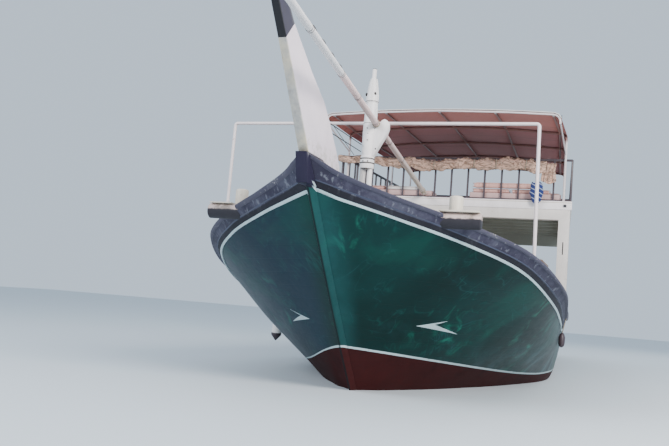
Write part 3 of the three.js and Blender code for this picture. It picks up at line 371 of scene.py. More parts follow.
def shade_of(color, factor):
    return tuple(c * factor for c in color)


MATERIALS = {}


def worn_paint(name, color, under, wear, grain="x", grime=0.4, roughness=0.45,
               grime_color=(0.12, 0.10, 0.08)):
    """Brushed paint on timber: chips to what lies under it, grime and faint grain."""
    r = Recipe(name)
    along = {"x": (0.12, 1, 1), "y": (1, 0.12, 1), "z": (1, 1, 0.12)}[grain]
    grains = r.noise(26.0, 3.0, 0.6, stretch=along)
    broad = r.noise(1.3, 4.0, 0.6)
    fine = r.noise(9.0, 5.0, 0.65)
    chips = r.noise(5.5, 7.0, 0.72) * 0.6 + r.noise(34.0, 3.0, 0.6, stretch=along) * 0.4
    chipped = chips.ramp(0.66 - 0.12 * wear, 0.70 - 0.10 * wear)
    runs = r.noise(3.2, 4.0, 0.6, stretch=(1, 1, 0.14))
    dirt = (runs.ramp(0.48, 0.78) * 0.7 + fine.ramp(0.55, 0.85) * 0.3) * grime
    base = r.tint(color, broad * 0.34 + fine * 0.16 + 0.75)
    base = r.mix(dirt, base, grime_color)
    base = r.mix(chipped * min(1.0, wear + 0.3), base, under)
    return r.finish(base, fine * 0.16 + chipped * 0.3 + (roughness - 0.08),
                    grains * 0.35 + fine * 0.3 - chipped * 0.7, 0.0016)


def hull_paint(name, green, red, white, navy=None):
    """Glossy green topsides over red bottom paint, parted by a thin white boot line. With navy
    it also paints the stem's dark head and the ends of the sheer stripe."""
    r = Recipe(name, specular=0.11, coat=0.03, coat_roughness=0.12)
    rise = ((r.x - BOOT_FROM) / (BOOT_TO - BOOT_FROM)).most(0).least(1) ** BOOT_POWER
    above = r.z - (rise * BOOT_RISE + BOOT_LOW) + r.y.ramp(
        0.0, BOOT_STARBOARD_OUT) * BOOT_STARBOARD_DROP
    broad = r.noise(0.45, 3.0, 0.55, distortion=0.5)
    blotch = r.noise(1.6, 5.0, 0.62, distortion=0.8)
    fine = r.noise(11.0, 5.0, 0.65)
    runs = r.noise(2.4, 5.0, 0.6, stretch=(1, 1, 0.10))
    glint = r.noise(2.4, 4.0, 0.6, stretch=(1.1, 1.1, 0.42), distortion=1.3)
    bends = r.noise(0.9, 2.0, 0.5, stretch=(0.7, 0.7, 1.0), distortion=2.2)
    scratch = 1 - (bends - 0.5).size().ramp(0.0, 0.012)
    # Starboard mask: it carries painted shade on the topsides and the bottom, and also the thinner
    # boot line there
    starboard = r.y.ramp(-0.04, -0.5)
    topside = r.mix(broad.ramp(0.35, 0.68), shade_of(green, 0.55), green)
    # Painted shade and reflection: the starboard topsides are tinted darker and bluer
    topside = r.mix(starboard * 0.8, topside, STARBOARD_SHADE)
    # Painted reflection: patches of a lighter teal haze
    topside = r.mix(blotch.ramp(0.5, 0.8) * 0.5, topside, shade_of(HAZE, 0.55))
    # Painted glints of reflected light: emerald streaks in patches
    patch = r.noise(1.1, 2.0, 0.5, stretch=(1, 1, 0.5))
    topside = r.mix(glint.ramp(0.50, 0.74) * patch.ramp(0.54, 0.68) * 0.50, topside, GLINT)
    # Painted caustic reflections: a thin network of emerald lines in patches
    caustic_veins = 1 - (r.noise(0.75, 2.0, 0.5, stretch=(1.2, 1.2, 0.5), distortion=3.0)
                 - 0.5).size().ramp(0.0, 0.030)
    topside = r.mix(caustic_veins * blotch.ramp(0.42, 0.70) * 0.16, topside, (0.012, 0.16, 0.125))
    topside = r.mix(scratch * blotch.ramp(0.42, 0.62) * 0.30, topside, HAZE)
    warm = r.noise(0.8, 3.0, 0.5, stretch=(1, 1, 0.7), distortion=0.8).ramp(0.52, 0.66)
    topside = r.mix(warm * 0.35, topside, (0.004, 0.065, 0.047))
    # Painted reflection of the water: pale cyan streaks low on the topsides, aft of the bow
    water_reflection = above.ramp(0.9, 0.0) * r.x.ramp(8.0, 3.0) * runs.ramp(0.42, 0.74)
    topside = r.mix(water_reflection * 0.45, topside, (0.10, 0.22, 0.25))
    stem = (r.z - 1.0) * STEM_SLOPE + STEM_AT_ONE - r.x
    band = stem.ramp(0.20, -0.02) * r.y.ramp(0.0, 0.03)
    topside = r.mix(band * (blotch * 0.9 + 0.2), topside, shade_of(HAZE, 0.8))
    # Painted shade: the red bottom is darker on the starboard side
    bottom = r.tint(red, blotch * 0.7 + fine * 0.4 + 0.45 - starboard * 0.25)
    bottom = r.mix(runs.ramp(0.5, 0.75) * 0.5, bottom, shade_of(red, 0.3))
    line = r.mix(fine.ramp(0.55, 0.75) * 0.5, white, shade_of(green, 2.0))
    edge = fine * 0.010 - 0.005
    color = r.mix((above + edge).ramp(-0.004, 0.004), bottom, line)
    thin = starboard * BOOT_THINNER - BOOT_HIGH
    color = r.mix((above + edge + thin).ramp(-0.004, 0.004), color, topside)
    if navy:
        dark = (r.z - HEAD_FROM).ramp(0.0, 0.004)
        color = r.mix(dark, color, shade_of(navy, 0.75))
        color = r.mix(dark * blotch.ramp(0.5, 0.75) * 0.5, color, navy)
        along = r.x - STRIPE_END_X
        hook = (r.z - STRIPE_END_PORT - along * 0.45).size().ramp(
            0.024, 0.019) * r.y.ramp(0.008, 0.012)
        cross = (r.z - STRIPE_END_STARBOARD + along * 0.30).size().ramp(
            0.025, 0.020) * r.y.ramp(-0.008, -0.012)
        color = r.mix((hook + cross).least(1) * r.z.ramp(3.02, 3.0), color,
                      r.tint(white, fine * 0.4 + 0.75))
        nose = r.y.size().ramp(0.017, 0.012) * r.x.ramp(8.0, 8.2) * r.z.ramp(2.95, 2.94)
        color = r.mix(nose * 0.75, color, (0.008, 0.014, 0.016))
    seam = ((r.z * 5.2 - r.x * 0.05).fract() - 0.5).size().ramp(0.47, 0.5)
    height = blotch * 0.5 + fine * 0.08 - seam * 0.2
    gloss = above.ramp(0.0, 0.02)
    return r.finish(color, fine * 0.16 + blotch * 0.18 + 0.62 - gloss * 0.40, height, 0.005)


def bulwark_paint(name, navy):
    """Matte navy paint, darker below the moulding, scuffed, with scratches that run down."""
    r = Recipe(name, specular=0.3)
    around = r.node("ShaderNodeSeparateXYZ", {}, {
        "Vector": r.node("ShaderNodeTexCoord")["UV"]})["X"]
    blotch = r.noise(2.2, 6.0, 0.68, distortion=0.4)
    fine = r.noise(19.0, 5.0, 0.7)
    scratch = r.noise(9.0, 4.0, 0.6, stretch=(1.4, 1.4, 0.08))
    lower = around.ramp(0.10, 0.085)
    base = r.tint(navy, blotch * 0.9 + fine * 0.3 + 0.4)
    base = r.mix(blotch.ramp(0.42, 0.66) * 0.65, base, (0.080, 0.082, 0.115))
    base = r.mix(scratch.ramp(0.56, 0.68) * 0.6, base, (0.19, 0.20, 0.24))
    base = r.mix(fine.ramp(0.58, 0.70) * 0.45, base, (0.04, 0.06, 0.065))
    base = r.mix(r.noise(26.0, 6.0, 0.75).ramp(0.62, 0.70) * 0.3, base, (0.26, 0.25, 0.26))
    base = r.mix(lower * 0.88, base, shade_of(navy, 0.16))
    return r.finish(base, fine * 0.2 + 0.55, fine * 0.5 + scratch * 0.3 + blotch * 0.3, 0.003)


def board_paint(name, white, navy):
    """Off-white stemhead with a navy top, cream and rust on its fore edge."""
    r = Recipe(name, specular=0.4)
    broad = r.noise(0.9, 4.0, 0.6)
    fine = r.noise(10.0, 6.0, 0.68)
    runs = r.noise(2.2, 5.0, 0.65, stretch=(1, 1, 0.18))
    fore = (r.z - BOARD_FOOT[1]) * BOARD_RAKE + BOARD_FOOT[0] - r.x
    face = fore.ramp(0.035, 0.015)
    base = r.tint(white, broad * 0.22 + fine * 0.10 + 0.84)
    base = r.mix(runs.ramp(0.5, 0.8) * 0.35, base, (0.47, 0.42, 0.44))
    stained = r.mix(fine.ramp(0.35, 0.65), (0.50, 0.47, 0.42), (0.36, 0.35, 0.34))
    stained = r.mix(broad.ramp(0.42, 0.62), stained, (0.62, 0.54, 0.38))
    stained = r.mix(fine.ramp(0.60, 0.74) * 0.6, stained, (0.30, 0.17, 0.10))
    base = r.mix(face, base, stained)
    base = r.mix(r.z.ramp(3.62, 3.5) * fine.ramp(0.45, 0.6) * 0.5, base, (0.40, 0.38, 0.33))
    top = (r.z - BOARD_TOP[1] + (r.x - BOARD_TOP[0]) * BOARD_TOP_SLOPE).ramp(-0.006, 0.006)
    cap = r.tint(navy, fine * 0.7 + broad * 0.5 + 0.3)
    cap = r.mix(face, cap, shade_of(navy, 0.12))
    base = r.mix(top, base, cap)
    grain = r.noise(18.0, 3.0, 0.6, stretch=(1, 1, 0.10))
    return r.finish(base, fine * 0.2 + 0.42, grain * 0.4 + fine * 0.3, 0.0025)


def spar_paint(name, white, under):
    """Old white paint with a pink cast, yellowed towards the heel and chipped at the bands."""
    r = Recipe(name, specular=0.4)
    along = r.noise(0.55, 3.0, 0.5, stretch=(1, 0.3, 0.3))
    fine = r.noise(14.0, 6.0, 0.7)
    streak = r.noise(12.0, 3.0, 0.6, stretch=(0.08, 1, 1))
    base = r.mix(r.x.ramp(11.4, 11.1) * (along * 0.4 + 0.6), white, (0.74, 0.52, 0.49))
    base = r.mix(r.x.ramp(7.5, 3.0) * 0.7, base, (0.60, 0.55, 0.46))
    base = r.tint(base, streak * 0.25 + fine * 0.15 + 0.8)
    chips = (fine * 0.5 + streak * 0.5).ramp(0.64, 0.70)
    base = r.mix(chips * 0.5, base, under)
    return r.finish(base, fine * 0.2 + chips * 0.2 + 0.4,
                    streak * 0.4 + fine * 0.3 - chips * 0.5, 0.002)


def tarred_and_shaded_log(name, cream, under):
    """Round timber: worn cream paint on its upper half; black below, a tarred underside that is
    also painted shade.
    """
    r = Recipe(name, specular=0.35)
    fine = r.noise(13.0, 6.0, 0.7)
    grain = r.noise(22.0, 4.0, 0.6, stretch=(1, 0.10, 1))
    worn = r.noise(3.0, 6.0, 0.7)
    top = r.tint(cream, grain * 0.4 + fine * 0.3 + 0.6)
    top = r.mix(worn.ramp(0.46, 0.62) * 0.8, top, under)
    # Black below the log's middle: tar, and painted shade under the log
    tar_and_shade = r.tint((0.020, 0.018, 0.024), fine * 1.2 + 0.4)
    tar_and_shade_line = CROSSBEAM_Z + 0.025
    base = r.mix((r.z - tar_and_shade_line + fine * 0.06 - 0.03).ramp(-0.012, 0.012), tar_and_shade, top)
    return r.finish(base, fine * 0.2 + 0.5, grain * 0.5 + fine * 0.4, 0.003)


def pipe_paint(name, white, dull):
    """Frame pipe: white legs, dull brown higher up under the awning."""
    r = Recipe(name)
    fine = r.noise(18.0, 5.0, 0.7)
    broad = r.noise(1.8, 4.0, 0.6)
    rust = (fine * 0.5 + r.noise(5.0, 6.0, 0.75) * 0.5).ramp(0.60, 0.66)
    base = r.mix(r.z.ramp(5.68, 5.8) * r.x.ramp(2.9, 2.8), white, dull)
    base = r.tint(base, broad * 0.3 + fine * 0.15 + 0.78)
    base = r.mix(rust * 0.5, base, (0.20, 0.10, 0.06))
    return r.finish(base, fine * 0.15 + rust * 0.3 + 0.38, fine * 0.3 - rust * 0.3, 0.001)


def awning_fabric(name, color, front):
    """Canvas with sewn seams across it, lighter where it overhangs the deck as painted sunlight
    shining through the cloth.
    """
    r = Recipe(name, sheen=0.2, specular=0.2)
    broad = r.noise(0.7, 4.0, 0.6)
    fine = r.noise(15.0, 5.0, 0.65)
    seam = ((r.x / 1.5).fract() - 0.5).size().ramp(0.485, 0.492)
    weave = r.maths("SINE", r.y * 700.0) * r.maths("SINE", r.x * 700.0)
    # Painted light: the cloth is lighter towards its front, as sunlight through it
    base = r.mix(r.x.ramp(0.7, 1.4), color, front)
    base = r.tint(base, broad * 0.35 + fine * 0.2 + 0.72)
    base = r.mix(r.noise(2.0, 6.0, 0.7).ramp(0.54, 0.78) * 0.35, base, shade_of(color, 0.45))
    base = r.mix(seam * 0.6, base, shade_of(color, 0.5))
    return r.finish(base, fine * 0.08 + 0.85, weave * 0.10 + fine * 0.4 + seam * 0.8, 0.002)


def rope_fibre(name, color):
    """Laid rope with slanting strands."""
    r = Recipe(name, specular=0.2)
    fine = r.noise(60.0, 4.0, 0.7)
    lay = r.maths("SINE", (r.x + r.y * 0.7 + r.z) * 90.0)
    base = r.tint(color, lay * 0.2 + fine * 0.4 + 0.75)
    return r.finish(base, fine * 0.1 + 0.8, lay * 0.6 + fine * 0.4, 0.002)


def glazing(name, color):
    """Tinted pane with dust at its edges."""
    r = Recipe(name, specular=0.6, coat=0.5, coat_roughness=0.05)
    dust = r.noise(6.0, 5.0, 0.65)
    base = r.mix(dust.ramp(0.5, 0.8) * 0.4, color, (0.16, 0.17, 0.17))
    return r.finish(base, dust * 0.18 + 0.06, dust, 0.0004)


def cushion_fabric(name, color, stripe):
    """Upholstery with a fine rib, faded and a little soiled."""
    r = Recipe(name, sheen=0.3, specular=0.2)
    broad = r.noise(1.6, 4.0, 0.6)
    fine = r.noise(24.0, 5.0, 0.7)
    rib = r.maths("SINE", r.y * 260.0)
    band = ((r.y * 4.2).fract() - 0.5).size().ramp(0.40, 0.42)
    base = r.mix(band * 0.35, color, stripe)
    base = r.tint(base, broad * 0.3 + fine * 0.2 + 0.75)
    base = r.mix(r.noise(3.1, 6.0, 0.7).ramp(0.55, 0.75) * 0.35, base, shade_of(color, 0.5))
    return r.finish(base, fine * 0.08 + 0.86, rib * 0.25 + fine * 0.5, 0.0012)


def wrinkled_cloth(name, color, dark):
    """Thin cloth rolled and tied: creases along the roll, with painted shade darkening their depth.
    """
    r = Recipe(name, sheen=0.3, specular=0.2)
    broad = r.noise(1.6, 4.0, 0.6)
    fine = r.noise(30.0, 5.0, 0.7)
    wave = r.noise(4.5, 2.0, 0.5, stretch=(1.0, 0.55, 1.7), distortion=2.2)
    small = r.noise(10.0, 2.0, 0.55, stretch=(1.0, 0.5, 1.7), distortion=1.6)
    crease = 1 - (wave - 0.5).size().ramp(0.0, 0.055)
    thin = 1 - (small - 0.5).size().ramp(0.0, 0.05)
    # Painted shading of the folds: the cloth is lighter on the crests of the waves
    base = r.tint(color, broad * 0.5 + wave * 0.5 + 0.42)
    # Painted shade: the creases are darkened
    base = r.mix(crease * 0.75, base, dark)
    base = r.mix(thin * 0.45, base, dark)
    height = wave * 0.9 + small * 0.35 + fine * 0.03 - crease * 0.4
    return r.finish(base, fine * 0.08 + 0.86, height, 0.04)


def striped_cloth(name, color, stripe):
    """Towelling with slanting light stripes."""
    r = Recipe(name, sheen=0.3, specular=0.2)
    fine = r.noise(40.0, 5.0, 0.7)
    lines = ((r.z * 9.0 + r.y * 5.0).fract() - 0.5).size().ramp(0.36, 0.42)
    base = r.mix(lines * 0.7, r.tint(color, fine * 0.6 + 0.6), stripe)
    return r.finish(base, fine * 0.1 + 0.85, fine, 0.002)


def planking(name, color, seam_color, width):
    """Planks laid along the boat, with dark seams, grain and worn patches."""
    r = Recipe(name)
    row = r.y / width
    plank = row - row.fract()
    tone = r.node("ShaderNodeTexWhiteNoise", {"noise_dimensions": "1D"}, {"W": plank})["Value"]
    grains = r.noise(38.0, 4.0, 0.6, stretch=(0.16, 1, 1))
    broad = r.noise(1.2, 4.0, 0.6)
    worn = r.noise(4.0, 6.0, 0.7).ramp(0.5, 0.75) * 0.4
    butt = ((r.x + tone * 3.1) / 2.8).fract().ramp(0.995, 0.999)
    seam = (row.fract() - 0.5).size().ramp(0.455, 0.485).most(butt)
    base = r.tint(color, tone * 0.35 + grains * 0.3 + broad * 0.25 + 0.55)
    base = r.mix(worn, base, (0.46, 0.43, 0.38))
    base = r.mix(seam, base, seam_color)
    return r.finish(base, grains * 0.15 + worn * 0.2 + 0.5, grains * 0.3 - seam, 0.002)


def metal_paint(name, color):
    """Painted steel pipe with rust spots and runs."""
    r = Recipe(name)
    broad = r.noise(2.1, 4.0, 0.6)
    fine = r.noise(22.0, 5.0, 0.7)
    spots = (r.noise(7.0, 6.0, 0.75) * 0.7 + fine * 0.3).ramp(0.635, 0.695)
    base = r.tint(color, broad * 0.3 + fine * 0.12 + 0.78)
    base = r.mix(broad.ramp(0.5, 0.8) * 0.35, base, shade_of(color, 0.62))
    base = r.mix(spots * 0.5, base, (0.23, 0.10, 0.05))
    return r.finish(base, fine * 0.15 + spots * 0.35 + 0.35, fine * 0.3 - spots * 0.3, 0.0012)


def bare_metal(name, color, roughness=0.35, metallic=0.9):
    """Metal with duller, darker patches."""
    r = Recipe(name, metallic=metallic)
    fine = r.noise(30.0, 5.0, 0.7)
    broad = r.noise(4.0, 4.0, 0.6)
    base = r.tint(color, broad * 0.5 + fine * 0.3 + 0.6)
    base = r.mix(broad.ramp(0.52, 0.75) * 0.5, base, shade_of(color, 0.35))
    return r.finish(base, fine * 0.25 + (roughness - 0.1), fine, 0.0008)


def varnish(name, color):
    """Varnished timber with upright grain, dulled where it is worn."""
    r = Recipe(name, coat=0.12, coat_roughness=0.4)
    stretch = (1, 1, 0.08)
    rings = r.noise(16.0, 5.0, 0.6, stretch=stretch, distortion=0.8)
    fine = r.noise(90.0, 2.0, 0.5, stretch=stretch)
    worn = r.noise(3.0, 5.0, 0.65).ramp(0.6, 0.8)
    base = r.mix(rings.ramp(0.35, 0.68), shade_of(color, 0.45), color)
    base = r.mix(worn * 0.4, base, (0.30, 0.22, 0.15))
    return r.finish(base, worn * 0.25 + fine * 0.1 + 0.45, fine * 0.4 + rings * 0.3, 0.0012)


# Modelling helpers

def angles(per_turn, count=None):
    """Angles evenly round a circle, past a full turn where count is more than per_turn."""
    return [2 * math.pi * k / per_turn for k in range(count or per_turn)]


def deselect():
    if bpy.context.object and bpy.context.object.mode != "OBJECT":
        bpy.ops.object.mode_set(mode="OBJECT")
    bpy.ops.object.select_all(action="DESELECT")


def pick(obj):
    deselect()
    obj.select_set(True)
    bpy.context.view_layer.objects.active = obj


def settle(obj, angle):
    """Puts the object's place into its mesh, turns normals out and smooths it."""
    pick(obj)
    bpy.ops.object.transform_apply(location=True, rotation=True, scale=True)
    bpy.ops.object.mode_set(mode="EDIT")
    bpy.ops.mesh.select_all(action="SELECT")
    bpy.ops.mesh.remove_doubles(threshold=0.00005)
    bpy.ops.mesh.normals_make_consistent(inside=False)
    bpy.ops.object.mode_set(mode="OBJECT")
    bpy.ops.object.shade_smooth_by_angle(angle=angle)


# The record's slot that each finish belongs to; the others have none
SLOTS = {finish: slot for slot, finishes in (
    ("green_paint", ("hull", "stem")), ("navy_paint", ("navy", "navy_paint")),
    ("red_paint", ("red",)), ("grey_timber", ("cap",)), ("dark_timber", ("dark",)),
    ("white_paint", ("white", "board", "stripe", "fascia", "spar")),
    ("cream_paint", ("cream", "portal", "log", "seat", "ceiling")),
    ("varnished_timber", ("teak",)), ("bronze", ("bronze",)), ("awning_cloth", ("awning",)),
    ("curtain_cloth", ("curtain",)), ("cushion_cloth", ("cushion", "cushion_white")),
    ("white_pipe", ("pipe", "frame_pipe"))) for finish in finishes}


def place(obj, name, material, body="boat", nodes=(), angle=0.6):
    """Finishes a piece: name, material, its body and the nodes it stands for."""
    settle(obj, angle)
    obj.name = obj.data.name = name
    obj.data.materials.clear()
    obj.data.materials.append(MATERIALS[material])
    material in SLOTS
    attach(obj, body)
    if nodes:
        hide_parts(*nodes)
    return obj


def grid(rows, closed=False):
    """A grid primitive whose vertices are set to rows of points."""
    deselect()
    n, m = len(rows), len(rows[0])
    bpy.ops.mesh.primitive_grid_add(x_subdivisions=m - 1, y_subdivisions=n - 1, size=1)
    obj = bpy.context.object
    flat = [c for row in rows for p in row for c in p]
    obj.data.vertices.foreach_set("co", flat)
    obj.data.update()
    if closed:
        pick(obj)
        bpy.ops.object.mode_set(mode="EDIT")
        bpy.ops.mesh.select_all(action="SELECT")
        bpy.ops.mesh.remove_doubles(threshold=0.00001)
        bpy.ops.mesh.select_all(action="DESELECT")
        bpy.ops.mesh.select_mode(type="EDGE")
        bpy.ops.mesh.select_non_manifold()
        bpy.ops.mesh.fill(use_beauty=True)
        bpy.ops.mesh.select_mode(type="VERT")
        bpy.ops.object.mode_set(mode="OBJECT")
    return obj


def skin(rings):
    """A closed solid over rings of points."""
    return grid([[*ring, ring[0]] for ring in rings], closed=True)


def joined(objects):
    pick(objects[0])
    for other in objects[1:]:
        other.select_set(True)
    bpy.ops.object.join()
    return bpy.context.object


def tube(points, radius, sides):
    """A round pipe or rope along points, with closed ends; a list gives a radius to each."""
    points = [Vector(p) for p in points]
    along = (points[1] - points[0]).normalized()
    u = along.orthogonal().normalized()
    rings = []
    for i, p in enumerate(points):
        ahead = (points[min(i + 1, len(points) - 1)] - points[max(i - 1, 0)]).normalized()
        u = (u - ahead * u.dot(ahead)).normalized()
        v = ahead.cross(u)
        r = radius[i] if isinstance(radius, list) else radius
        rings.append([p + (u * math.cos(a) + v * math.sin(a)) * r for a in angles(sides)])
    return skin(rings)


def box(low, high, bevel=0.004, segments=2):
    """A block with bevelled edges between two corners."""
    deselect()
    low, high = Vector(low), Vector(high)
    bpy.ops.mesh.primitive_cube_add(size=1, location=(low + high) / 2)
    obj = bpy.context.object
    obj.scale = [abs(c) for c in high - low]
    bpy.ops.object.transform_apply(location=True, rotation=True, scale=True)
    bpy.ops.object.mode_set(mode="EDIT")
    bpy.ops.mesh.select_all(action="SELECT")
    bpy.ops.mesh.bevel(offset=bevel, segments=segments, affect="EDGES")
    bpy.ops.object.mode_set(mode="OBJECT")
    return obj


def sample(points, steps):
    """Evenly spaced points on a smooth curve through a few."""
    points = [Vector(p) for p in points]
    out = []
    n = len(points) - 1
    for s in range(steps + 1):
        at = s * n / steps
        i = min(int(at), n - 1)
        t = at - i
        a = points[max(i - 1, 0)]
        b, c = points[i], points[i + 1]
        d = points[min(i + 2, n)]
        out.append(0.5 * ((2 * b) + (c - a) * t + (2 * a - 5 * b + 4 * c - d) * t ** 2
                          + (3 * b - a - 3 * c + d) * t ** 3))
    return out


def turned(profile, base, way, sides=32):
    """A turned piece: rings of (distance, radius) drawn out along a line from its base."""
    deselect()
    bpy.ops.mesh.primitive_circle_add(vertices=sides, radius=profile[0][1], fill_type="NGON")
    obj = bpy.context.object
    bpy.ops.object.mode_set(mode="EDIT")
    bpy.ops.mesh.select_all(action="SELECT")
    for (near, before), (far, after) in zip(profile, profile[1:]):
        bpy.ops.mesh.extrude_region_move(TRANSFORM_OT_translate={"value": (0, 0, far - near)})
        bpy.ops.transform.resize(value=(after / before, after / before, 1),
                                 center_override=(0, 0, 0))
    bpy.ops.object.mode_set(mode="OBJECT")
    way = Vector(way).normalized()
    obj.matrix_world = (Matrix.Translation(Vector(base) + way * profile[0][0])
                        @ way.to_track_quat("Z", "Y").to_matrix().to_4x4())
    pick(obj)
    bpy.ops.object.transform_apply(location=True, rotation=True, scale=True)
    return obj


def shaped(node, name, material, bevel, segments=2):
    """A node's own form with its triangles merged into faces and its edges softened."""
    obj = bpy.data.objects.new(name, frame["nodes"][node].data.copy())
    bpy.context.scene.collection.objects.link(obj)
    pick(obj)
    bpy.ops.object.mode_set(mode="EDIT")
    bpy.ops.mesh.select_all(action="SELECT")
    bpy.ops.mesh.remove_doubles(threshold=0.0001)
    bpy.ops.mesh.dissolve_limited(angle_limit=0.02)
    bpy.ops.object.mode_set(mode="OBJECT")
    soft = obj.modifiers.new("soft_edges", "BEVEL")
    soft.width = bevel
    soft.segments = segments
    soft.limit_method = "ANGLE"
    soft.angle_limit = 0.6
    bpy.ops.object.modifier_apply(modifier=soft.name)
    return place(obj, name, material, body=BODY_OF[node], nodes=[node])


def copied(obj):
    """A copy with its own mesh."""
    made = obj.copy()
    made.data = obj.data.copy()
    bpy.context.scene.collection.objects.link(made)
    return made


def bead(spot, size, sides=16):
    """A small rounded lump, such as a bolt head, or a black one that paints the shade of a hole in
    a casting.
    """
    deselect()
    bpy.ops.mesh.primitive_uv_sphere_add(segments=sides, ring_count=sides // 2, radius=1,
                                         location=spot)
    obj = bpy.context.object
    obj.scale = size
    bpy.ops.object.transform_apply(location=True, rotation=True, scale=True)
    return obj


def hull_half(x, z):
    """Half-breadth of the planking at a place along the boat."""
    near = min(STATIONS, key=lambda row: abs(row.x_at(z) - x))
    k = STATIONS.index(near)
    other = STATIONS[min(max(k + (1 if near.x_at(z) < x else -1), 0), len(STATIONS) - 1)]
    a, b = near.x_at(z), other.x_at(z)
    t = (x - a) / (b - a) if abs(b - a) > 1e-6 else 0
    return near.breadth(z) + (other.breadth(z) - near.breadth(z)) * t


# Settings

def color_setting(name, description, default):
    return FloatVectorProperty(name=name, description=description, default=default,
                               subtype="COLOR", min=0.0, max=1.0, size=3)


class DhowColors(bpy.types.PropertyGroup):
    green: color_setting("Topsides", "Hull paint above the boot line", (0.0025, 0.027, 0.025))
    red: color_setting("Bottom", "Hull paint below the boot line", (0.034, 0.006, 0.006))
    navy: color_setting("Bulwark", "Paint of the bulwark", (0.026, 0.023, 0.046))
    white: color_setting("White", "White paint of timber and pipe", (0.80, 0.77, 0.76))
    cream: color_setting("Cream", "Cream paint of the house", (0.66, 0.60, 0.50))
    awning: color_setting("Awning", "Cloth of the awning", (0.38, 0.105, 0.098))
    curtain: color_setting("Curtain", "Cloth of the furled curtain", (0.68, 0.45, 0.34))


class DhowSizes(bpy.types.PropertyGroup):
    camera_away: FloatVectorProperty(
        name="Camera", description="Where the camera stands", default=(21.04, 3.89, 1.45),
        subtype="TRANSLATION", unit="LENGTH", size=3)
    lens: FloatProperty(name="Lens", description="Focal length on a 36 mm sensor",
                        default=43.05, unit="CAMERA")
    stage_half: FloatProperty(name="Floor", description="Half the width of the floor",
                              default=60.0, unit="LENGTH")


# Operators

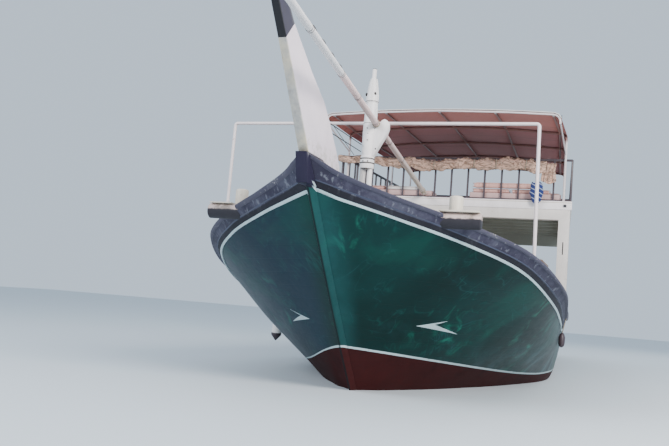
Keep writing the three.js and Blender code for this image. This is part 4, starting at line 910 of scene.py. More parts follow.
class DHOW_OT_materials(bpy.types.Operator):
    """Makes the paints, timbers, cloths and metals"""

    bl_idname = "dhow.materials"
    bl_label = "Materials"

    def execute(self, context):
        c = context.scene.dhow_colors
        green, red, navy = tuple(c.green), tuple(c.red), tuple(c.navy)
        white, cream = tuple(c.white), tuple(c.cream)
        wood = (0.24, 0.17, 0.11)
        pale = (0.44, 0.56, 0.58)
        MATERIALS.update({
            "hull": hull_paint("green_topsides", green, red, pale),
            "stem": hull_paint("stem_paint", green, red, pale, navy),
            "navy": bulwark_paint("navy_bulwark", navy),
            "navy_paint": worn_paint("navy_paint", navy, (0.10, 0.11, 0.13), wear=0.45,
                                     grime=0.5, roughness=0.6, grime_color=(0.06, 0.07, 0.09)),
            "line": worn_paint("moulding_line", (0.040, 0.048, 0.085), (0.13, 0.14, 0.17),
                               wear=0.5, roughness=0.55),
            "cap": worn_paint("grey_cap", (0.052, 0.048, 0.078), (0.36, 0.34, 0.35), wear=0.7,
                              grime=0.5, roughness=0.65, grime_color=(0.12, 0.12, 0.14)),
            "stripe": worn_paint("white_stripe", pale, (0.05, 0.13, 0.13), wear=0.3,
                                 grime=0.45, roughness=0.4, grime_color=(0.18, 0.22, 0.22)),
            "white": worn_paint("white_timber", white, wood, grain="z", wear=0.3, grime=0.35),
            "board": board_paint("stemhead_paint", (0.72, 0.63, 0.68), navy),
            "seat": worn_paint("seat_paint", (0.50, 0.33, 0.31), wood, grain="x", wear=0.2,
                               grime=0.4),
            "cream": worn_paint("cream_timber", cream, wood, grain="z", wear=0.3, grime=0.35),
            "portal": worn_paint("portal_paint", (0.62, 0.58, 0.54), wood, grain="z", wear=0.2,
                                 grime=0.35, grime_color=(0.25, 0.22, 0.18)),
            "fascia": worn_paint("fascia_paint", (0.80, 0.76, 0.76), wood, grain="y", wear=0.2,
                                 grime=0.35, grime_color=(0.38, 0.36, 0.35)),
            "log": tarred_and_shaded_log("crossbeam_paint", (0.58, 0.46, 0.42), (0.20, 0.16, 0.13)),
            "spar": spar_paint("spar_paint", (0.64, 0.62, 0.62), (0.22, 0.16, 0.12)),
            "red": worn_paint("bottom_paint", red, (0.06, 0.02, 0.015), wear=0.4, grime=0.5,
                              roughness=0.75),
            "deck": planking("deck_planks", (0.33, 0.25, 0.17), (0.05, 0.04, 0.035), 0.14),
            "ceiling": worn_paint("ceiling_boards", (0.24, 0.25, 0.21), (0.15, 0.14, 0.11),
                                  grain="y", wear=0.15, grime=0.35),
            "dark": worn_paint("dark_timber", (0.050, 0.034, 0.042), (0.16, 0.12, 0.11),
                               grain="z", wear=0.3, grime_color=(0.06, 0.055, 0.07)),
            # The awning's underside is painted lighter than its top, as sunlight shining through
            # the cloth
            "awning": awning_fabric("awning_cloth", tuple(c.awning), (0.50, 0.150, 0.115)),
            "awning_top": awning_fabric("awning_top_cloth", (0.125, 0.036, 0.032),
                                        (0.14, 0.042, 0.036)),
            "hem": worn_paint("white_hem", (0.62, 0.60, 0.58), (0.3, 0.22, 0.2), grain="y",
                              wear=0.3, roughness=0.8),
            # The curtain's third colour is the painted shade in its creases
            "curtain": wrinkled_cloth("curtain_cloth", tuple(c.curtain), (0.17, 0.095, 0.055)),
            "cushion": cushion_fabric("cushion_cloth", (0.60, 0.36, 0.31), (0.48, 0.24, 0.22)),
            "cushion_white": cushion_fabric("white_cushion_cloth", (0.66, 0.64, 0.62),
                                            (0.56, 0.54, 0.52)),
            "pipe": metal_paint("white_pipe", (0.70, 0.62, 0.62)),
            "frame_pipe": pipe_paint("frame_pipe_paint", (0.70, 0.64, 0.64), (0.25, 0.12, 0.10)),
            "iron": bare_metal("dark_iron", (0.10, 0.09, 0.085), 0.6, 0.6),
            "bronze": bare_metal("bronze", (0.55, 0.36, 0.17)),
            # Black for hollows: painted shade in the sheave holes and the portal slots
            "black": worn_paint("hollow_shade", (0.012, 0.011, 0.012), (0.03, 0.03, 0.03),
                                wear=0.1, roughness=0.8),
            "rubber": worn_paint("fender_rubber", (0.80, 0.78, 0.76), (0.25, 0.24, 0.24),
                                 wear=0.3, grime=0.5, roughness=0.55),
            "rubber_dark": worn_paint("dark_rubber", (0.035, 0.035, 0.04), (0.09, 0.09, 0.09),
                                      wear=0.2, roughness=0.6),
            "rope": rope_fibre("rope", (0.34, 0.29, 0.22)),
            "rope_dark": rope_fibre("dark_rope", (0.050, 0.048, 0.055)),
            "striped": striped_cloth("striped_cloth", (0.020, 0.035, 0.14), (0.40, 0.46, 0.58)),
            "glass": glazing("window_glass", (0.035, 0.045, 0.05)),
            "teak": varnish("varnished_timber", (0.30, 0.14, 0.06)),
        })
        return {"FINISHED"}


class DHOW_OT_stage(bpy.types.Operator):
    """Sets the floor, the lights and the camera"""

    bl_idname = "dhow.stage"
    bl_label = "Stage"

    def execute(self, context):
        sizes = context.scene.dhow_sizes
        deselect()
        bpy.ops.mesh.primitive_plane_add(size=2 * sizes.stage_half, location=(0, 0, 0))
        floor = bpy.context.object
        floor.name = "floor"
        look = bpy.data.materials.new("floor_pale")
        look.use_nodes = True
        shader = look.node_tree.nodes["Principled BSDF"]
        shader.inputs["Base Color"].default_value = (0.60, 0.66, 0.70, 1)
        shader.inputs["Roughness"].default_value = 0.6
        floor.data.materials.append(look)
        world = bpy.data.worlds.new("studio")
        world.use_nodes = True
        context.scene.world = world
        back = world.node_tree.nodes["Background"]
        back.inputs["Color"].default_value = (0.58, 0.70, 0.83, 1)
        back.inputs["Strength"].default_value = 1.15
        for name, place_at, aim, size, power, color in (
                ("key", (20, 14, 12), (4, 1, 3), 8, 6500, (1.0, 0.95, 0.92)),
                ("fill", (22, -12, 14), (6, -1, 3), 10, 3200, (0.95, 0.96, 1.0)),
                ("back", (-18, 10, 16), (0, 0, 4), 8, 1800, (1.0, 0.97, 0.92))):
            lamp = bpy.data.lights.new(name, "AREA")
            lamp.shape = "DISK"
            lamp.size = size
            lamp.energy = power
            lamp.color = color
            obj = bpy.data.objects.new(name, lamp)
            obj.location = place_at
            obj.rotation_euler = (Vector(place_at) - Vector(aim)).to_track_quat(
                "Z", "Y").to_euler()
            context.scene.collection.objects.link(obj)
        lens = bpy.data.cameras.new("camera")
        lens.sensor_width = 36.0
        lens.lens = sizes.lens
        lens.clip_end = 300.0
        camera = bpy.data.objects.new("camera", lens)
        context.scene.collection.objects.link(camera)
        # The camera looks aft along -X, then is turned by its yaw, pitch and roll
        yaw, pitch, roll = (math.radians(a) for a in CAMERA_TURNS)
        level = Matrix(((0, 1, 0), (0, 0, -1), (-1, 0, 0)))
        turn_yaw = Matrix(((math.cos(yaw), 0, -math.sin(yaw)), (0, 1, 0),
                           (math.sin(yaw), 0, math.cos(yaw))))
        turn_pitch = Matrix(((1, 0, 0), (0, math.cos(pitch), math.sin(pitch)),
                             (0, -math.sin(pitch), math.cos(pitch))))
        turn_roll = Matrix(((math.cos(roll), -math.sin(roll), 0),
                            (math.sin(roll), math.cos(roll), 0), (0, 0, 1)))
        right, down, ahead = turn_roll @ turn_pitch @ turn_yaw @ level
        turn = Matrix((right, -down, -ahead)).transposed().to_4x4()
        camera.matrix_world = Matrix.Translation(sizes.camera_away) @ turn
        context.scene.camera = camera
        return {"FINISHED"}


class DHOW_OT_hull(bpy.types.Operator):
    """Planks the hull, the bulwarks, the cap rails and the mouldings"""

    bl_idname = "dhow.hull"
    bl_label = "Hull"

    def execute(self, context):
        def ring(row):
            port = [row.point(p.x, p.y) for p in row.side]
            deck_half = max(row.breadth(row.deck_z) - WELL_INSET, 0.004)
            port.append(row.point(max(row.breadth(row.sheer_z) - WELL_INSET, 0.004), row.sheer_z))
            port.append(row.point(deck_half, row.deck_z))
            middle = row.point(0, row.deck_z + 0.06 * min(1, deck_half / 2))
            return [*port, middle, *(Vector((p.x, -p.y, p.z)) for p in reversed(port))]

        place(skin([ring(row) for row in STATIONS]), "hull_planking", "hull", nodes=["hull"])
        for side, sign in SIDES:
            def edge(name, offsets, material, nodes, rows=STATIONS):
                rings = [[row.point(sign * y, z) for y, z in offsets(row)] for row in rows]
                return place(skin(rings), name, material, nodes=nodes)

            edge(f"bulwark_planks_{side}", lambda row: (
                (row.sheer_y, row.sheer_z), (row.cap_y, row.cap_z),
                (max(row.cap_y - BULWARK_THICK, 0.003), row.cap_z),
                (max(row.sheer_y - BULWARK_THICK, 0.003), row.sheer_z)),
                "navy", [f"bulwark_{side}"])

            def rail(row):
                low, high = row.cap_z, row.cap_z + CAP_THICK
                out, inn, soft = row.cap_outer(), row.cap_inner(), 0.012
                soft = min(soft, (out - inn) / 4)
                return ((out, low + soft), (out, high - soft), (out - soft, high),
                        (inn + soft, high), (inn, high - soft), (inn, low + soft),
                        (inn + soft, low), (out - soft, low))

            after = [row for row in STATIONS if row.x_at(row.cap_z) < CROSSBEAM_X - 0.1]
            fore = [row for row in STATIONS if row.x_at(row.cap_z) > CROSSBEAM_X + 0.1]
            edge(f"cap_{side}", rail, "cap", [f"cap_rail_{side}"], after)
            edge(f"cap_fore_{side}", rail, "cap", [f"cap_rail_fore_{side}"], fore)

            def strip(row):
                low, high = row.side[-2], row.side[-1]
                way = (high - low).normalized()
                if sign > 0 and row.top > STRIPE_RISE_FROM:
                    share = (row.top - STRIPE_RISE_FROM) / STRIPE_RISE_LONG
                    high = high + Vector((0, STRIPE_RISE * share))
                out = Vector((way.y, -way.x))
                low = high - way * STRIPE_HIGH
                corners = (low, low + out * MOULDING_PROUD, high + out * MOULDING_PROUD, high)
                return [(p.x, p.y) for p in corners]

            edge(f"sheer_stripe_{side}", strip, "stripe", [f"sheer_moulding_{side}"])
        return {"FINISHED"}


class DHOW_OT_trim(bpy.types.Operator):
    """Adds the moulding line, the painted arrows and the fenders to the sides"""

    bl_idname = "dhow.trim"
    bl_label = "Side trim"

    def execute(self, context):
        for side, sign in SIDES:
            rings = []
            for row in STATIONS:
                high = 0.085 + 0.045 * min(max((row.top - 9.3) / 1.5, 0), 1)
                z = row.sheer_z + high
                share = high / max(row.cap_z - row.sheer_z, 0.01)
                y = row.sheer_y + (row.cap_y - row.sheer_y) * share
                rings.append([row.point(sign * (y + out), z + up) for out, up in (
                    (-0.01, -0.009), (0.009, -0.008), (0.012, 0), (0.009, 0.008), (-0.01, 0.009))])
            place(skin(rings), f"moulding_line_{side}", "line")
            place(self.arrow(ARROWS[side], sign), f"arrow_fore_{side}", "stripe")
        white = turned(((0, 0.01), (0.09, 0.060), (0.13, 0.104), (0.16, 0.112), (0.44, 0.112),
                        (0.52, 0.100), (0.56, 0.055), (0.60, 0.032), (0.64, 0.028)),
                       (3.9, -3.24, 0.44), (0, 0.04, 1))
        place(white, "fender_starboard", "rubber")
        place(turned(((0, 0.012), (0.02, 0.030), (0.12, 0.112), (0.15, 0.116), (0.17, 0.116)),
                     (3.9, -3.245, 0.42), (0, 0.04, 1)), "fender_foot_starboard", "dark")
        place(tube(sample(((3.9, -3.215, 1.06), (3.9, -3.20, 1.3), (3.9, -3.17, 1.53)), 8), 0.009,
                   8), "fender_rope_starboard", "rope")
        dark = turned(((0, 0.02), (0.03, 0.055), (0.08, 0.07), (0.22, 0.07), (0.28, 0.05),
                       (0.32, 0.02)), (2.7, 2.995, 0.80), (0, 0.03, 1), 20)
        place(dark, "fender_port", "dark")
        place(tube(sample(((2.7, 3.005, 1.10), (2.7, 3.03, 1.25), (2.7, 3.07, 1.43)), 8), 0.008, 8),
              "fender_rope_port", "rope")
        return {"FINISHED"}

    def arrow(self, outline, sign):
        """A thin painted shape that lies on the planking."""
        deselect()
        bpy.ops.mesh.primitive_circle_add(vertices=len(outline), fill_type="NGON")
        obj = bpy.context.object
        for vertex, (x, z) in zip(obj.data.vertices, outline):
            vertex.co = (x, 0, z)
        bpy.ops.object.mode_set(mode="EDIT")
        bpy.ops.mesh.select_all(action="SELECT")
        bpy.ops.mesh.quads_convert_to_tris()
        bpy.ops.mesh.subdivide(number_cuts=5)
        bpy.ops.object.mode_set(mode="OBJECT")
        for vertex in obj.data.vertices:
            x, z = vertex.co.x, vertex.co.z
            vertex.co.y = sign * (hull_half(x, z) + 0.001)
        thick = obj.modifiers.new("paint", "SOLIDIFY")
        thick.thickness = 0.003
        thick.offset = 0
        pick(obj)
        bpy.ops.object.modifier_apply(modifier=thick.name)
        return obj


class DHOW_OT_stem(bpy.types.Operator):
    """Shapes the stem, the stemhead board and the keel"""

    bl_idname = "dhow.stem"
    bl_label = "Stem and keel"

    def execute(self, context):
        shaped("stem", "stem_timber", "stem", 0.004)
        shaped("stemhead", "stemhead_board", "board", 0.008, 3)
        shaped("keel", "keel_timber", "red", 0.008)
        shaped("transom", "transom_planks", "navy_paint", 0.006)
        shaped("cap_rail_aft", "cap_aft", "cap", 0.01)
        for x, z in ((10.72, 3.30), (10.60, 3.34)):
            place(bead((x, 0, z), (0.018, 0.08, 0.018)), f"stemhead_bolt_{int(x * 100)}", "iron")
        return {"FINISHED"}


class DHOW_OT_foredeck(bpy.types.Operator):
    """Turns the crossbeam log and the bitts and bends the pipe frame"""

    bl_idname = "dhow.foredeck"
    bl_label = "Foredeck"

    def execute(self, context):
        log = turned(((0, 0.108), (0.012, 0.12), (0.8, 0.124), (2.1, 0.125), (3.6, 0.122),
                      (4.308, 0.119), (4.32, 0.106)),
                     (CROSSBEAM_X, -CROSSBEAM_HALF, CROSSBEAM_Z), (0, 1, 0), 40)
        place(log, "crossbeam_log", "log", nodes=["crossbeam"], angle=0.8)
        place(joined([box((9.56, 1.56, 2.83), (9.79, 2.14, 2.852), 0.006),
                      box((9.57, -2.13, 2.828), (9.77, -1.75, 2.846), 0.006)]),
              "crossbeam_pads", "cream")
        for side, sign in SIDES:
            post = turned(((0.235, 0.09), (0.24, 0.10), (0.42, 0.10), (0.43, 0.094), (0.45, 0.094),
                           (0.46, 0.102), (0.70, 0.104), (0.722, 0.098), (0.735, 0.080)),
                          (BITT_X, sign * BITT_Y, 2.365), (0, 0, 1), 36)
            knee = tube([(9.38, sign * 1.34, 2.24), (9.39, sign * 1.46, 2.40),
                         (BITT_X, sign * 1.70, 2.64)], 0.045, 16)
            place(joined([post, knee]), f"bitt_post_{side}", "cream", nodes=[f"bitt_{side}"])
            coil = [(BITT_X + 0.112 * math.cos(a), sign * BITT_Y + 0.112 * math.sin(a),
                     2.755 + 0.021 * a / (2 * math.pi)) for a in angles(16, 45)]
            place(tube(coil, 0.011, 8), f"bitt_lashing_{side}", "rope")
        path = [(PIPE_FOOT_Y, 2.26), (2.755, 3.0), (2.738, 4.46)]
        path += [(2.688 + 0.05 * math.cos(a), 4.497 + 0.05 * math.sin(a)) for a in angles(32, 9)]
        path += [(1.2, PIPE_TOP)]
        path += [(-y, z) for y, z in reversed(path)]
        pipes = [tube([(PIPE_X, y, z) for y, z in path], 0.029, 20)]
        for sign in (1, -1):
            pipes.append(turned(((0, 0.075), (0.008, 0.08), (0.016, 0.075), (0.02, 0.045),
                                 (0.05, 0.040)), (PIPE_X, sign * PIPE_FOOT_Y, 2.292),
                                (0, 0, 1), 24))
        place(joined(pipes), "pipe_frame", "pipe", nodes=["gantry"])
        return {"FINISHED"}


class DHOW_OT_mast(bpy.types.Operator):
    """Turns the mast and its fittings, the fork arm and the lowered spar"""

    bl_idname = "dhow.mast"
    bl_label = "Mast and spar"

    def execute(self, context):
        x = MAST_X
        profile = ((3.66, 0.112), (3.69, 0.120), (3.86, 0.115), (3.865, 0.103), (4.05, 0.106),
                   (4.25, 0.112), (4.40, 0.113), (4.60, 0.106), (4.775, 0.099), (4.78, 0.106),
                   (4.80, 0.108), (4.91, 0.107), (4.93, 0.101), (5.02, 0.089), (5.12, 0.075),
                   (5.19, 0.062), (5.20, 0.040), (5.22, 0.037), (5.355, 0.037), (5.365, 0.030))
        head = tube([(x, mast_y(z), z) for z, r in profile], [r for z, r in profile], 40)
        legs = [tube([(x, y + lean * t, 2.05 + 1.72 * t) for t in (0, 0.5, 1)], radii, 24)
                for y, lean, radii in ((0.078, -0.014, [0.040, 0.042, 0.045]),
                                       (-0.057, 0.005, [0.049, 0.049, 0.049]))]
        place(joined([head, *legs]), "mast_timber", "white", nodes=["mast"], angle=0.7)
        for name, z, radius, high in (
                ("lower", 3.735, 0.1235, 0.026), ("upper", 3.81, 0.122, 0.022),
                ("middle", 4.418, 0.116, 0.010), ("collar", 4.79, 0.111, 0.014)):
            place(turned(((0, radius - 0.006), (0.003, radius), (high - 0.003, radius),
                          (high, radius - 0.006)), (x, mast_y(z), z), (0, 0, 1), 40),
                  f"mast_band_{name}", "iron")
        place(bead((x, 0.0235, 5.366), (0.036, 0.036, 0.010)), "mast_cap", "rubber_dark")
        # Black lumps paint the shade inside the two sheave holes
        holes = [bead((x + 0.068, -0.064, 4.912), (0.026, 0.022, 0.030)),
                 bead((x + 0.070, 0.082, 4.924), (0.026, 0.022, 0.030))]
        place(joined(holes), "mast_sheave_holes", "black")
        place(bead((x + 0.104, 0.019, 4.186), (0.014, 0.034, 0.085), 24), "mast_plate", "white")
        nuts = [bead((x + 0.114, 0.019, z), (0.008, 0.010, 0.010), 8) for z in (4.13, 4.24)]
        nuts += [bead((x + 0.112, y, z), (0.010, 0.012, 0.012), 8)
                 for y, z in ((-0.03, 3.775), (0.05, 3.775), (0.0, 4.33))]
        place(joined(nuts), "mast_nuts", "iron")
        shaped("mast_arm", "fork_arm", "white", 0.007, 3)
        low, high = (Vector(c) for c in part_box("mast_arm"))
        bolts = [bead((high.x + 0.001, low.y + 0.07 + 0.16 * k, low.z + 0.12 + 0.13 * k),
                      (0.007, 0.014, 0.014), 8) for k in range(2)]
        place(joined(bolts), "fork_bolts", "iron")
        steps = 40
        places = [SPAR_FOOT + SPAR_LONG * k / steps for k in range(steps + 1)]
        points = [spar_point(at) for at in places]
        radii = [spar_radius(at) for at in places]
        points.insert(0, points[0] - (points[1] - points[0]).normalized() * 0.006)
        radii.insert(0, radii[0] - 0.008)
        points.append(points[-1] + (points[-1] - points[-2]).normalized() * 0.006)
        radii.append(radii[-1] - 0.010)
        place(tube(points, radii, 28), "spar_timber", "spar", nodes=["spar"], angle=0.8)
        way = (spar_point(9) - spar_point(8)).normalized()
        bands = []
        for at in SPAR_BANDS:
            radius = spar_radius(at)
            for ahead in (-0.028, 0.028):
                bands.append(turned(((0, radius), (0.002, radius + 0.003), (0.010, radius + 0.003),
                                     (0.012, radius)), spar_point(at + ahead), way, 28))
        place(joined(bands), "spar_bands", "iron")
        line = [spar_point(12.9 - 1.6 * k / 24) + Vector((
            0, 0.012 * math.sin(k * 0.9), 0.064 + 0.004 * math.sin(k * 1.7))) for k in range(25)]
        place(tube(line, 0.011, 10), "spar_line", "rubber_dark")
        lashings = []
        for at in (8.32, 8.47, 1.35, 1.43):
            centre = spar_point(at)
            radius = spar_radius(at) + 0.006
            side = way.cross(Vector((0, 0, 1))).normalized()
            top = side.cross(way)
            lashings.append(tube([centre + way * 0.018 * a / 6.28 * 0.6
                                  + (side * math.cos(a) + top * math.sin(a)) * radius
                                  for a in angles(14, 50)], 0.007, 8))
        place(joined(lashings), "spar_lashings", "rope")
        return {"FINISHED"}


class DHOW_OT_rigging(bpy.types.Operator):
    """Strings the two taut stays and the awning's corner lines"""

    bl_idname = "dhow.rigging"
    bl_label = "Stays"

    def execute(self, context):
        for name, start, end in (("upper", (10.30, 0, 3.976), (8.45, -0.10, 4.06)),
                                 ("lower", (10.18, 0, 3.855), (8.45, -0.10, 3.94))):
            place(tube([Vector(start).lerp(Vector(end), k / 6) for k in range(7)], 0.007, 10),
                  f"stay_{name}", "rope_dark")
        for name, sign in SIDES:
            top, foot = Vector((3.0, sign * 2.775, 5.90)), Vector((0.94, sign * 2.66, 5.33))
            place(tube([top.lerp(foot, k / 6) for k in range(7)], 0.007, 10),
                  f"awning_line_{name}", "rope_dark")
        return {"FINISHED"}


class DHOW_OT_house(bpy.types.Operator):
    """Frames the midship house, its upper deck, rails, benches and ladder"""

    bl_idname = "dhow.house"
    bl_label = "Midship house"

    def execute(self, context):
        shaped("front_portal", "portal_timbers", "portal", 0.008, 3)
        for side, sign in SIDES:
            shaped(f"side_frame_{side}", f"side_posts_{side}", "cream", 0.008)
            shaped(f"rail_{side}", f"deck_rail_{side}", "dark", 0.004, 1)
            shaped(f"upper_bench_{side}", f"upper_seat_{side}", "seat", 0.008)
            shaped(f"main_bench_{side}", f"main_seat_{side}", "cream", 0.008)
            # A thin black sheet paints the shade in each portal post's slot
            place(box((0.984, sign * 2.83 - 0.012, 2.95), (0.9885, sign * 2.83 + 0.012, 3.26),
                      0.001, 1), f"portal_slot_{side}", "black")
        shaped("rail_front", "deck_rail_front", "dark", 0.004, 1)
        shaped("rail_aft", "deck_rail_aft", "dark", 0.004, 1)
        shaped("upper_fascia", "fascia_board", "fascia", 0.008, 3)
        shaped("upper_deck", "upper_deck_boards", "ceiling", 0.004)
        shaped("ladder", "ladder_timber", "white", 0.005)
        place(box((1.0, -2.99, 4.218), (1.010, 2.99, 4.232), 0.003, 1), "fascia_bead", "cream")
        lamp = [box((0.99, 2.80, 4.115), (1.035, 2.87, 4.175), 0.008),
                bead((1.035, 2.835, 4.145), (0.012, 0.02, 0.02))]
        place(joined(lamp), "fascia_fitting", "rubber_dark")
        return {"FINISHED"}


class DHOW_OT_wheelhouse(bpy.types.Operator):
    """Builds the wheelhouse with its windows, doors, roof, helm and hatch"""

    bl_idname = "dhow.wheelhouse"
    bl_label = "Wheelhouse"

    def trim(self, name, centre, half_wide, half_high, across, out):
        """A wooden frame round an opening, with a pane set in it; out points away from the wall."""
        centre, across, out = Vector(centre), Vector(across), Vector(out)
        up = Vector((0, 0, 1))
        bars = []
        wide = 0.035
        for along, half, other, off in ((across, half_wide + wide, up, half_high + wide / 2),
                                        (up, half_high, across, half_wide + wide / 2)):
            reach = along * half + other * (wide / 2)
            for spot in (centre + other * off, centre - other * off):
                bars.append(box(spot - reach, spot + reach + out * 0.016, 0.004))
        place(joined(bars), f"{name}_trim", "teak")
        pane = box(centre - across * half_wide - up * half_high - out * 0.026,
                   centre + across * half_wide + up * half_high - out * 0.020, 0.001, 1)
        place(pane, f"{name}_pane", "glass")

    def execute(self, context):
        for name in ("front", "back", "port", "starboard"):
            shaped(f"wheelhouse_{name}", f"house_wall_{name}", "white", 0.005)
        shaped("wheelhouse_roof", "house_roof", "white", 0.012, 3)
        low, high = (Vector(c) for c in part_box("wheelhouse_roof"))
        edges = [(low.x, y - 0.012, high.x, y + 0.012) for y in (low.y, high.y)]
        edges += [(x - 0.012, low.y, x + 0.012, high.y) for x in (low.x, high.x)]
        rim = [box((x0, y0, low.z - 0.03), (x1, y1, low.z + 0.035), 0.005)
               for x0, y0, x1, y1 in edges]
        place(joined(rim), "house_roof_rim", "teak")
        for k, y in enumerate((-1.1, 0, 1.1)):
            self.trim(f"front_window_{k + 1}", (-6.30, y, 2.665), 0.42, 0.285, (0, 1, 0), (1, 0, 0))
        for k, y in enumerate((-0.7, 0.7)):
            self.trim(f"back_window_{k + 1}", (-8.95, y, 2.665), 0.35, 0.285, (0, 1, 0), (-1, 0, 0))
        for side, sign in SIDES:
            self.trim(f"side_window_{side}", (-8.325, sign * 1.70, 2.665), 0.275, 0.285,
                      (1, 0, 0), (0, sign, 0))
            body = BODY_OF[f"door_{side}"]
            shaped(f"door_{side}", f"house_door_{side}", "teak", 0.004)
            pane = box((-7.68, sign * 1.675, 2.36), (-7.26, sign * 1.681, 2.96), 0.001, 1)
            place(pane, f"door_pane_{side}", "glass", body=body)
            handle = [turned(((0, 0.02), (0.004, 0.024), (0.010, 0.022), (0.012, 0.012),
                              (0.045, 0.011), (0.048, 0.006)), (-7.21, sign * 1.698, 2.20),
                             (0, sign, 0), 20),
                      tube([(-7.21, sign * 1.738, 2.20), (-7.26, sign * 1.740, 2.20),
                            (-7.33, sign * 1.738, 2.197)], [0.010, 0.009, 0.007], 12)]
            place(joined(handle), f"door_handle_{side}", "bronze", body=body)
        shaped("helm_pedestal", "helm_post", "teak", 0.008, 3)
        self.wheel()
        battens = [box((5.34, y - 0.03, 1.805), (6.20, y + 0.03, 1.818), 0.004)
                   for y in (-0.3, 0, 0.3)]
        place(joined(battens), "hatch_battens", "teak", body=BODY_OF["hatch_lid"])
        return {"FINISHED"}

    def wheel(self):
        """The helm wheel: rim, hub and eight turned spokes with handles."""
        centre = Vector((-6.94, 0, 2.3))
        deselect()
        bpy.ops.mesh.primitive_torus_add(location=centre, rotation=(0, math.pi / 2, 0),
                                         major_radius=0.285, minor_radius=0.019,
                                         major_segments=64, minor_segments=14)
        parts = [bpy.context.object]
        parts.append(turned(((0, 0.05), (0.006, 0.06), (0.02, 0.063), (0.075, 0.063),
                             (0.088, 0.055), (0.095, 0.03)), centre - Vector((0.045, 0, 0)),
                            (1, 0, 0), 32))
        for k in range(8):
            a = math.pi / 4 * k
            way = Vector((0, math.cos(a), math.sin(a)))
            parts.append(turned(((0.05, 0.013), (0.10, 0.010), (0.16, 0.014), (0.20, 0.010),
                                 (0.27, 0.013), (0.305, 0.013), (0.315, 0.009), (0.335, 0.013),
                                 (0.365, 0.015), (0.385, 0.011), (0.388, 0.005)), centre, way, 14))
        place(joined(parts), "helm_wheel_timber", "teak", body=BODY_OF["helm_wheel"],
              nodes=["helm_wheel"])


class DHOW_OT_rudder(bpy.types.Operator):
    """Shapes the rudder with its straps, and the propeller"""

    bl_idname = "dhow.rudder"
    bl_label = "Rudder and propeller"

    def execute(self, context):
        shaped("rudder", "rudder_timber", "hull", 0.007)
        shaped("propeller", "propeller_bronze", "bronze", 0.004)
        straps = []
        for z, reach, rivets in ((-1.4, 0.62, 4), (-0.3, 0.62, 4), (0.78, 0.38, 2)):
            x = rudder_axis(z)
            for sign in (1, -1):
                straps.append(box((x - reach, sign * 0.040 - 0.004, z - 0.075),
                                  (x - 0.11, sign * 0.040 + 0.004, z - 0.015), 0.002, 1))
                for k in range(rivets):
                    straps.append(bead((x - 0.18 - 0.12 * k, sign * 0.046, z - 0.045),
                                       (0.011, 0.005, 0.011), 8))
        place(joined(straps), "rudder_straps", "iron", body=BODY_OF["rudder"])
        return {"FINISHED"}


class DHOW_OT_awning(bpy.types.Operator):
    """Stretches the awning over its pipe hoops"""

    bl_idname = "dhow.awning"
    bl_label = "Awning"

    def execute(self, context):
        along, around = 96, 40
        rows = []
        for i in range(along + 1):
            x = AWNING_FRONT + (AWNING_BACK - AWNING_FRONT) * i / along
            t = max((x - AWNING_BEND) / (AWNING_FRONT - AWNING_BEND), 0)
            half = house_half(min(x, AWNING_BEND)) - 0.205 + 0.0412
            half = half + (AWNING_FRONT_HALF - half) * t
            top = AWNING_TOP - AWNING_FRONT_DROP * t
            arch = AWNING_ARCH + (AWNING_FRONT_ARCH - AWNING_ARCH) * t
            ahead = [p for p in AWNING_HOOPS if p >= x - 1e-6]
            behind = [p for p in AWNING_HOOPS if p <= x + 1e-6]
            hang = 0
            if ahead and behind and min(ahead) > max(behind):
                share_x = (x - max(behind)) / (min(ahead) - max(behind))
                hang = math.sin(math.pi * share_x)
            row = []
            for k in range(around + 1):
                s = -1 + 2 * k / around
                size = abs(s)
                if size > AWNING_TURN:
                    a = (size - AWNING_TURN) / (1 - AWNING_TURN) * math.radians(67.5)
                    y = half - AWNING_CORNER + (AWNING_CORNER - 0.003) * math.sin(a)
                    z = top - arch - AWNING_CORNER + (AWNING_CORNER - 0.003) * math.cos(a)
                else:
                    share = size / AWNING_TURN
                    y = (half - AWNING_CORNER) * share
                    z = top - 0.003 - arch * share ** 2
                    between = abs(math.sin(2 * math.pi * share))
                    if share < 0.99:
                        z -= hang * (0.008 + 0.014 * between)
                row.append((x, math.copysign(y, s), z))
            rows.append(row)
        sheet = grid(rows)
        thick = sheet.modifiers.new("cloth", "SOLIDIFY")
        thick.thickness = 0.004
        thick.offset = -1
        pick(sheet)
        bpy.ops.object.mode_set(mode="EDIT")
        bpy.ops.mesh.select_all(action="SELECT")
        bpy.ops.mesh.normals_make_consistent(inside=False)
        bpy.ops.object.mode_set(mode="OBJECT")
        up = sum(f.normal.z for f in sheet.data.polygons)
        if up < 0:
            sheet.data.flip_normals()
        bpy.ops.object.modifier_apply(modifier=thick.name)
        front = [Vector(p) + Vector((0.004, 0, 0.001)) for p in rows[0]]
        hem = tube(front, 0.013, 8)
        hem = place(hem, "awning_hem", "hem", angle=1.0)
        sheet = place(sheet, "awning_cloth", "awning", nodes=["awning"], angle=1.0)
        # Faces that look up take the darker top cloth; the rest keep the underside's painted light
        sheet.data.materials.append(MATERIALS["awning_top"])
        for face in sheet.data.polygons:
            if face.normal.z > 0.2:
                face.material_index = 1
        shaped("awning_frame", "awning_pipes", "frame_pipe", 0.003, 1)
        return {"FINISHED"}


def curtain_line(y, values):
    """A height read smoothly off a few named places across the boat."""
    for (a, low), (b, high) in zip(values, values[1:]):
        if a <= y <= b:
            t = (y - a) / (b - a)
            t = t * t * (3 - 2 * t)
            return low + (high - low) * t
    return values[0][1] if y < values[0][0] else values[-1][1]


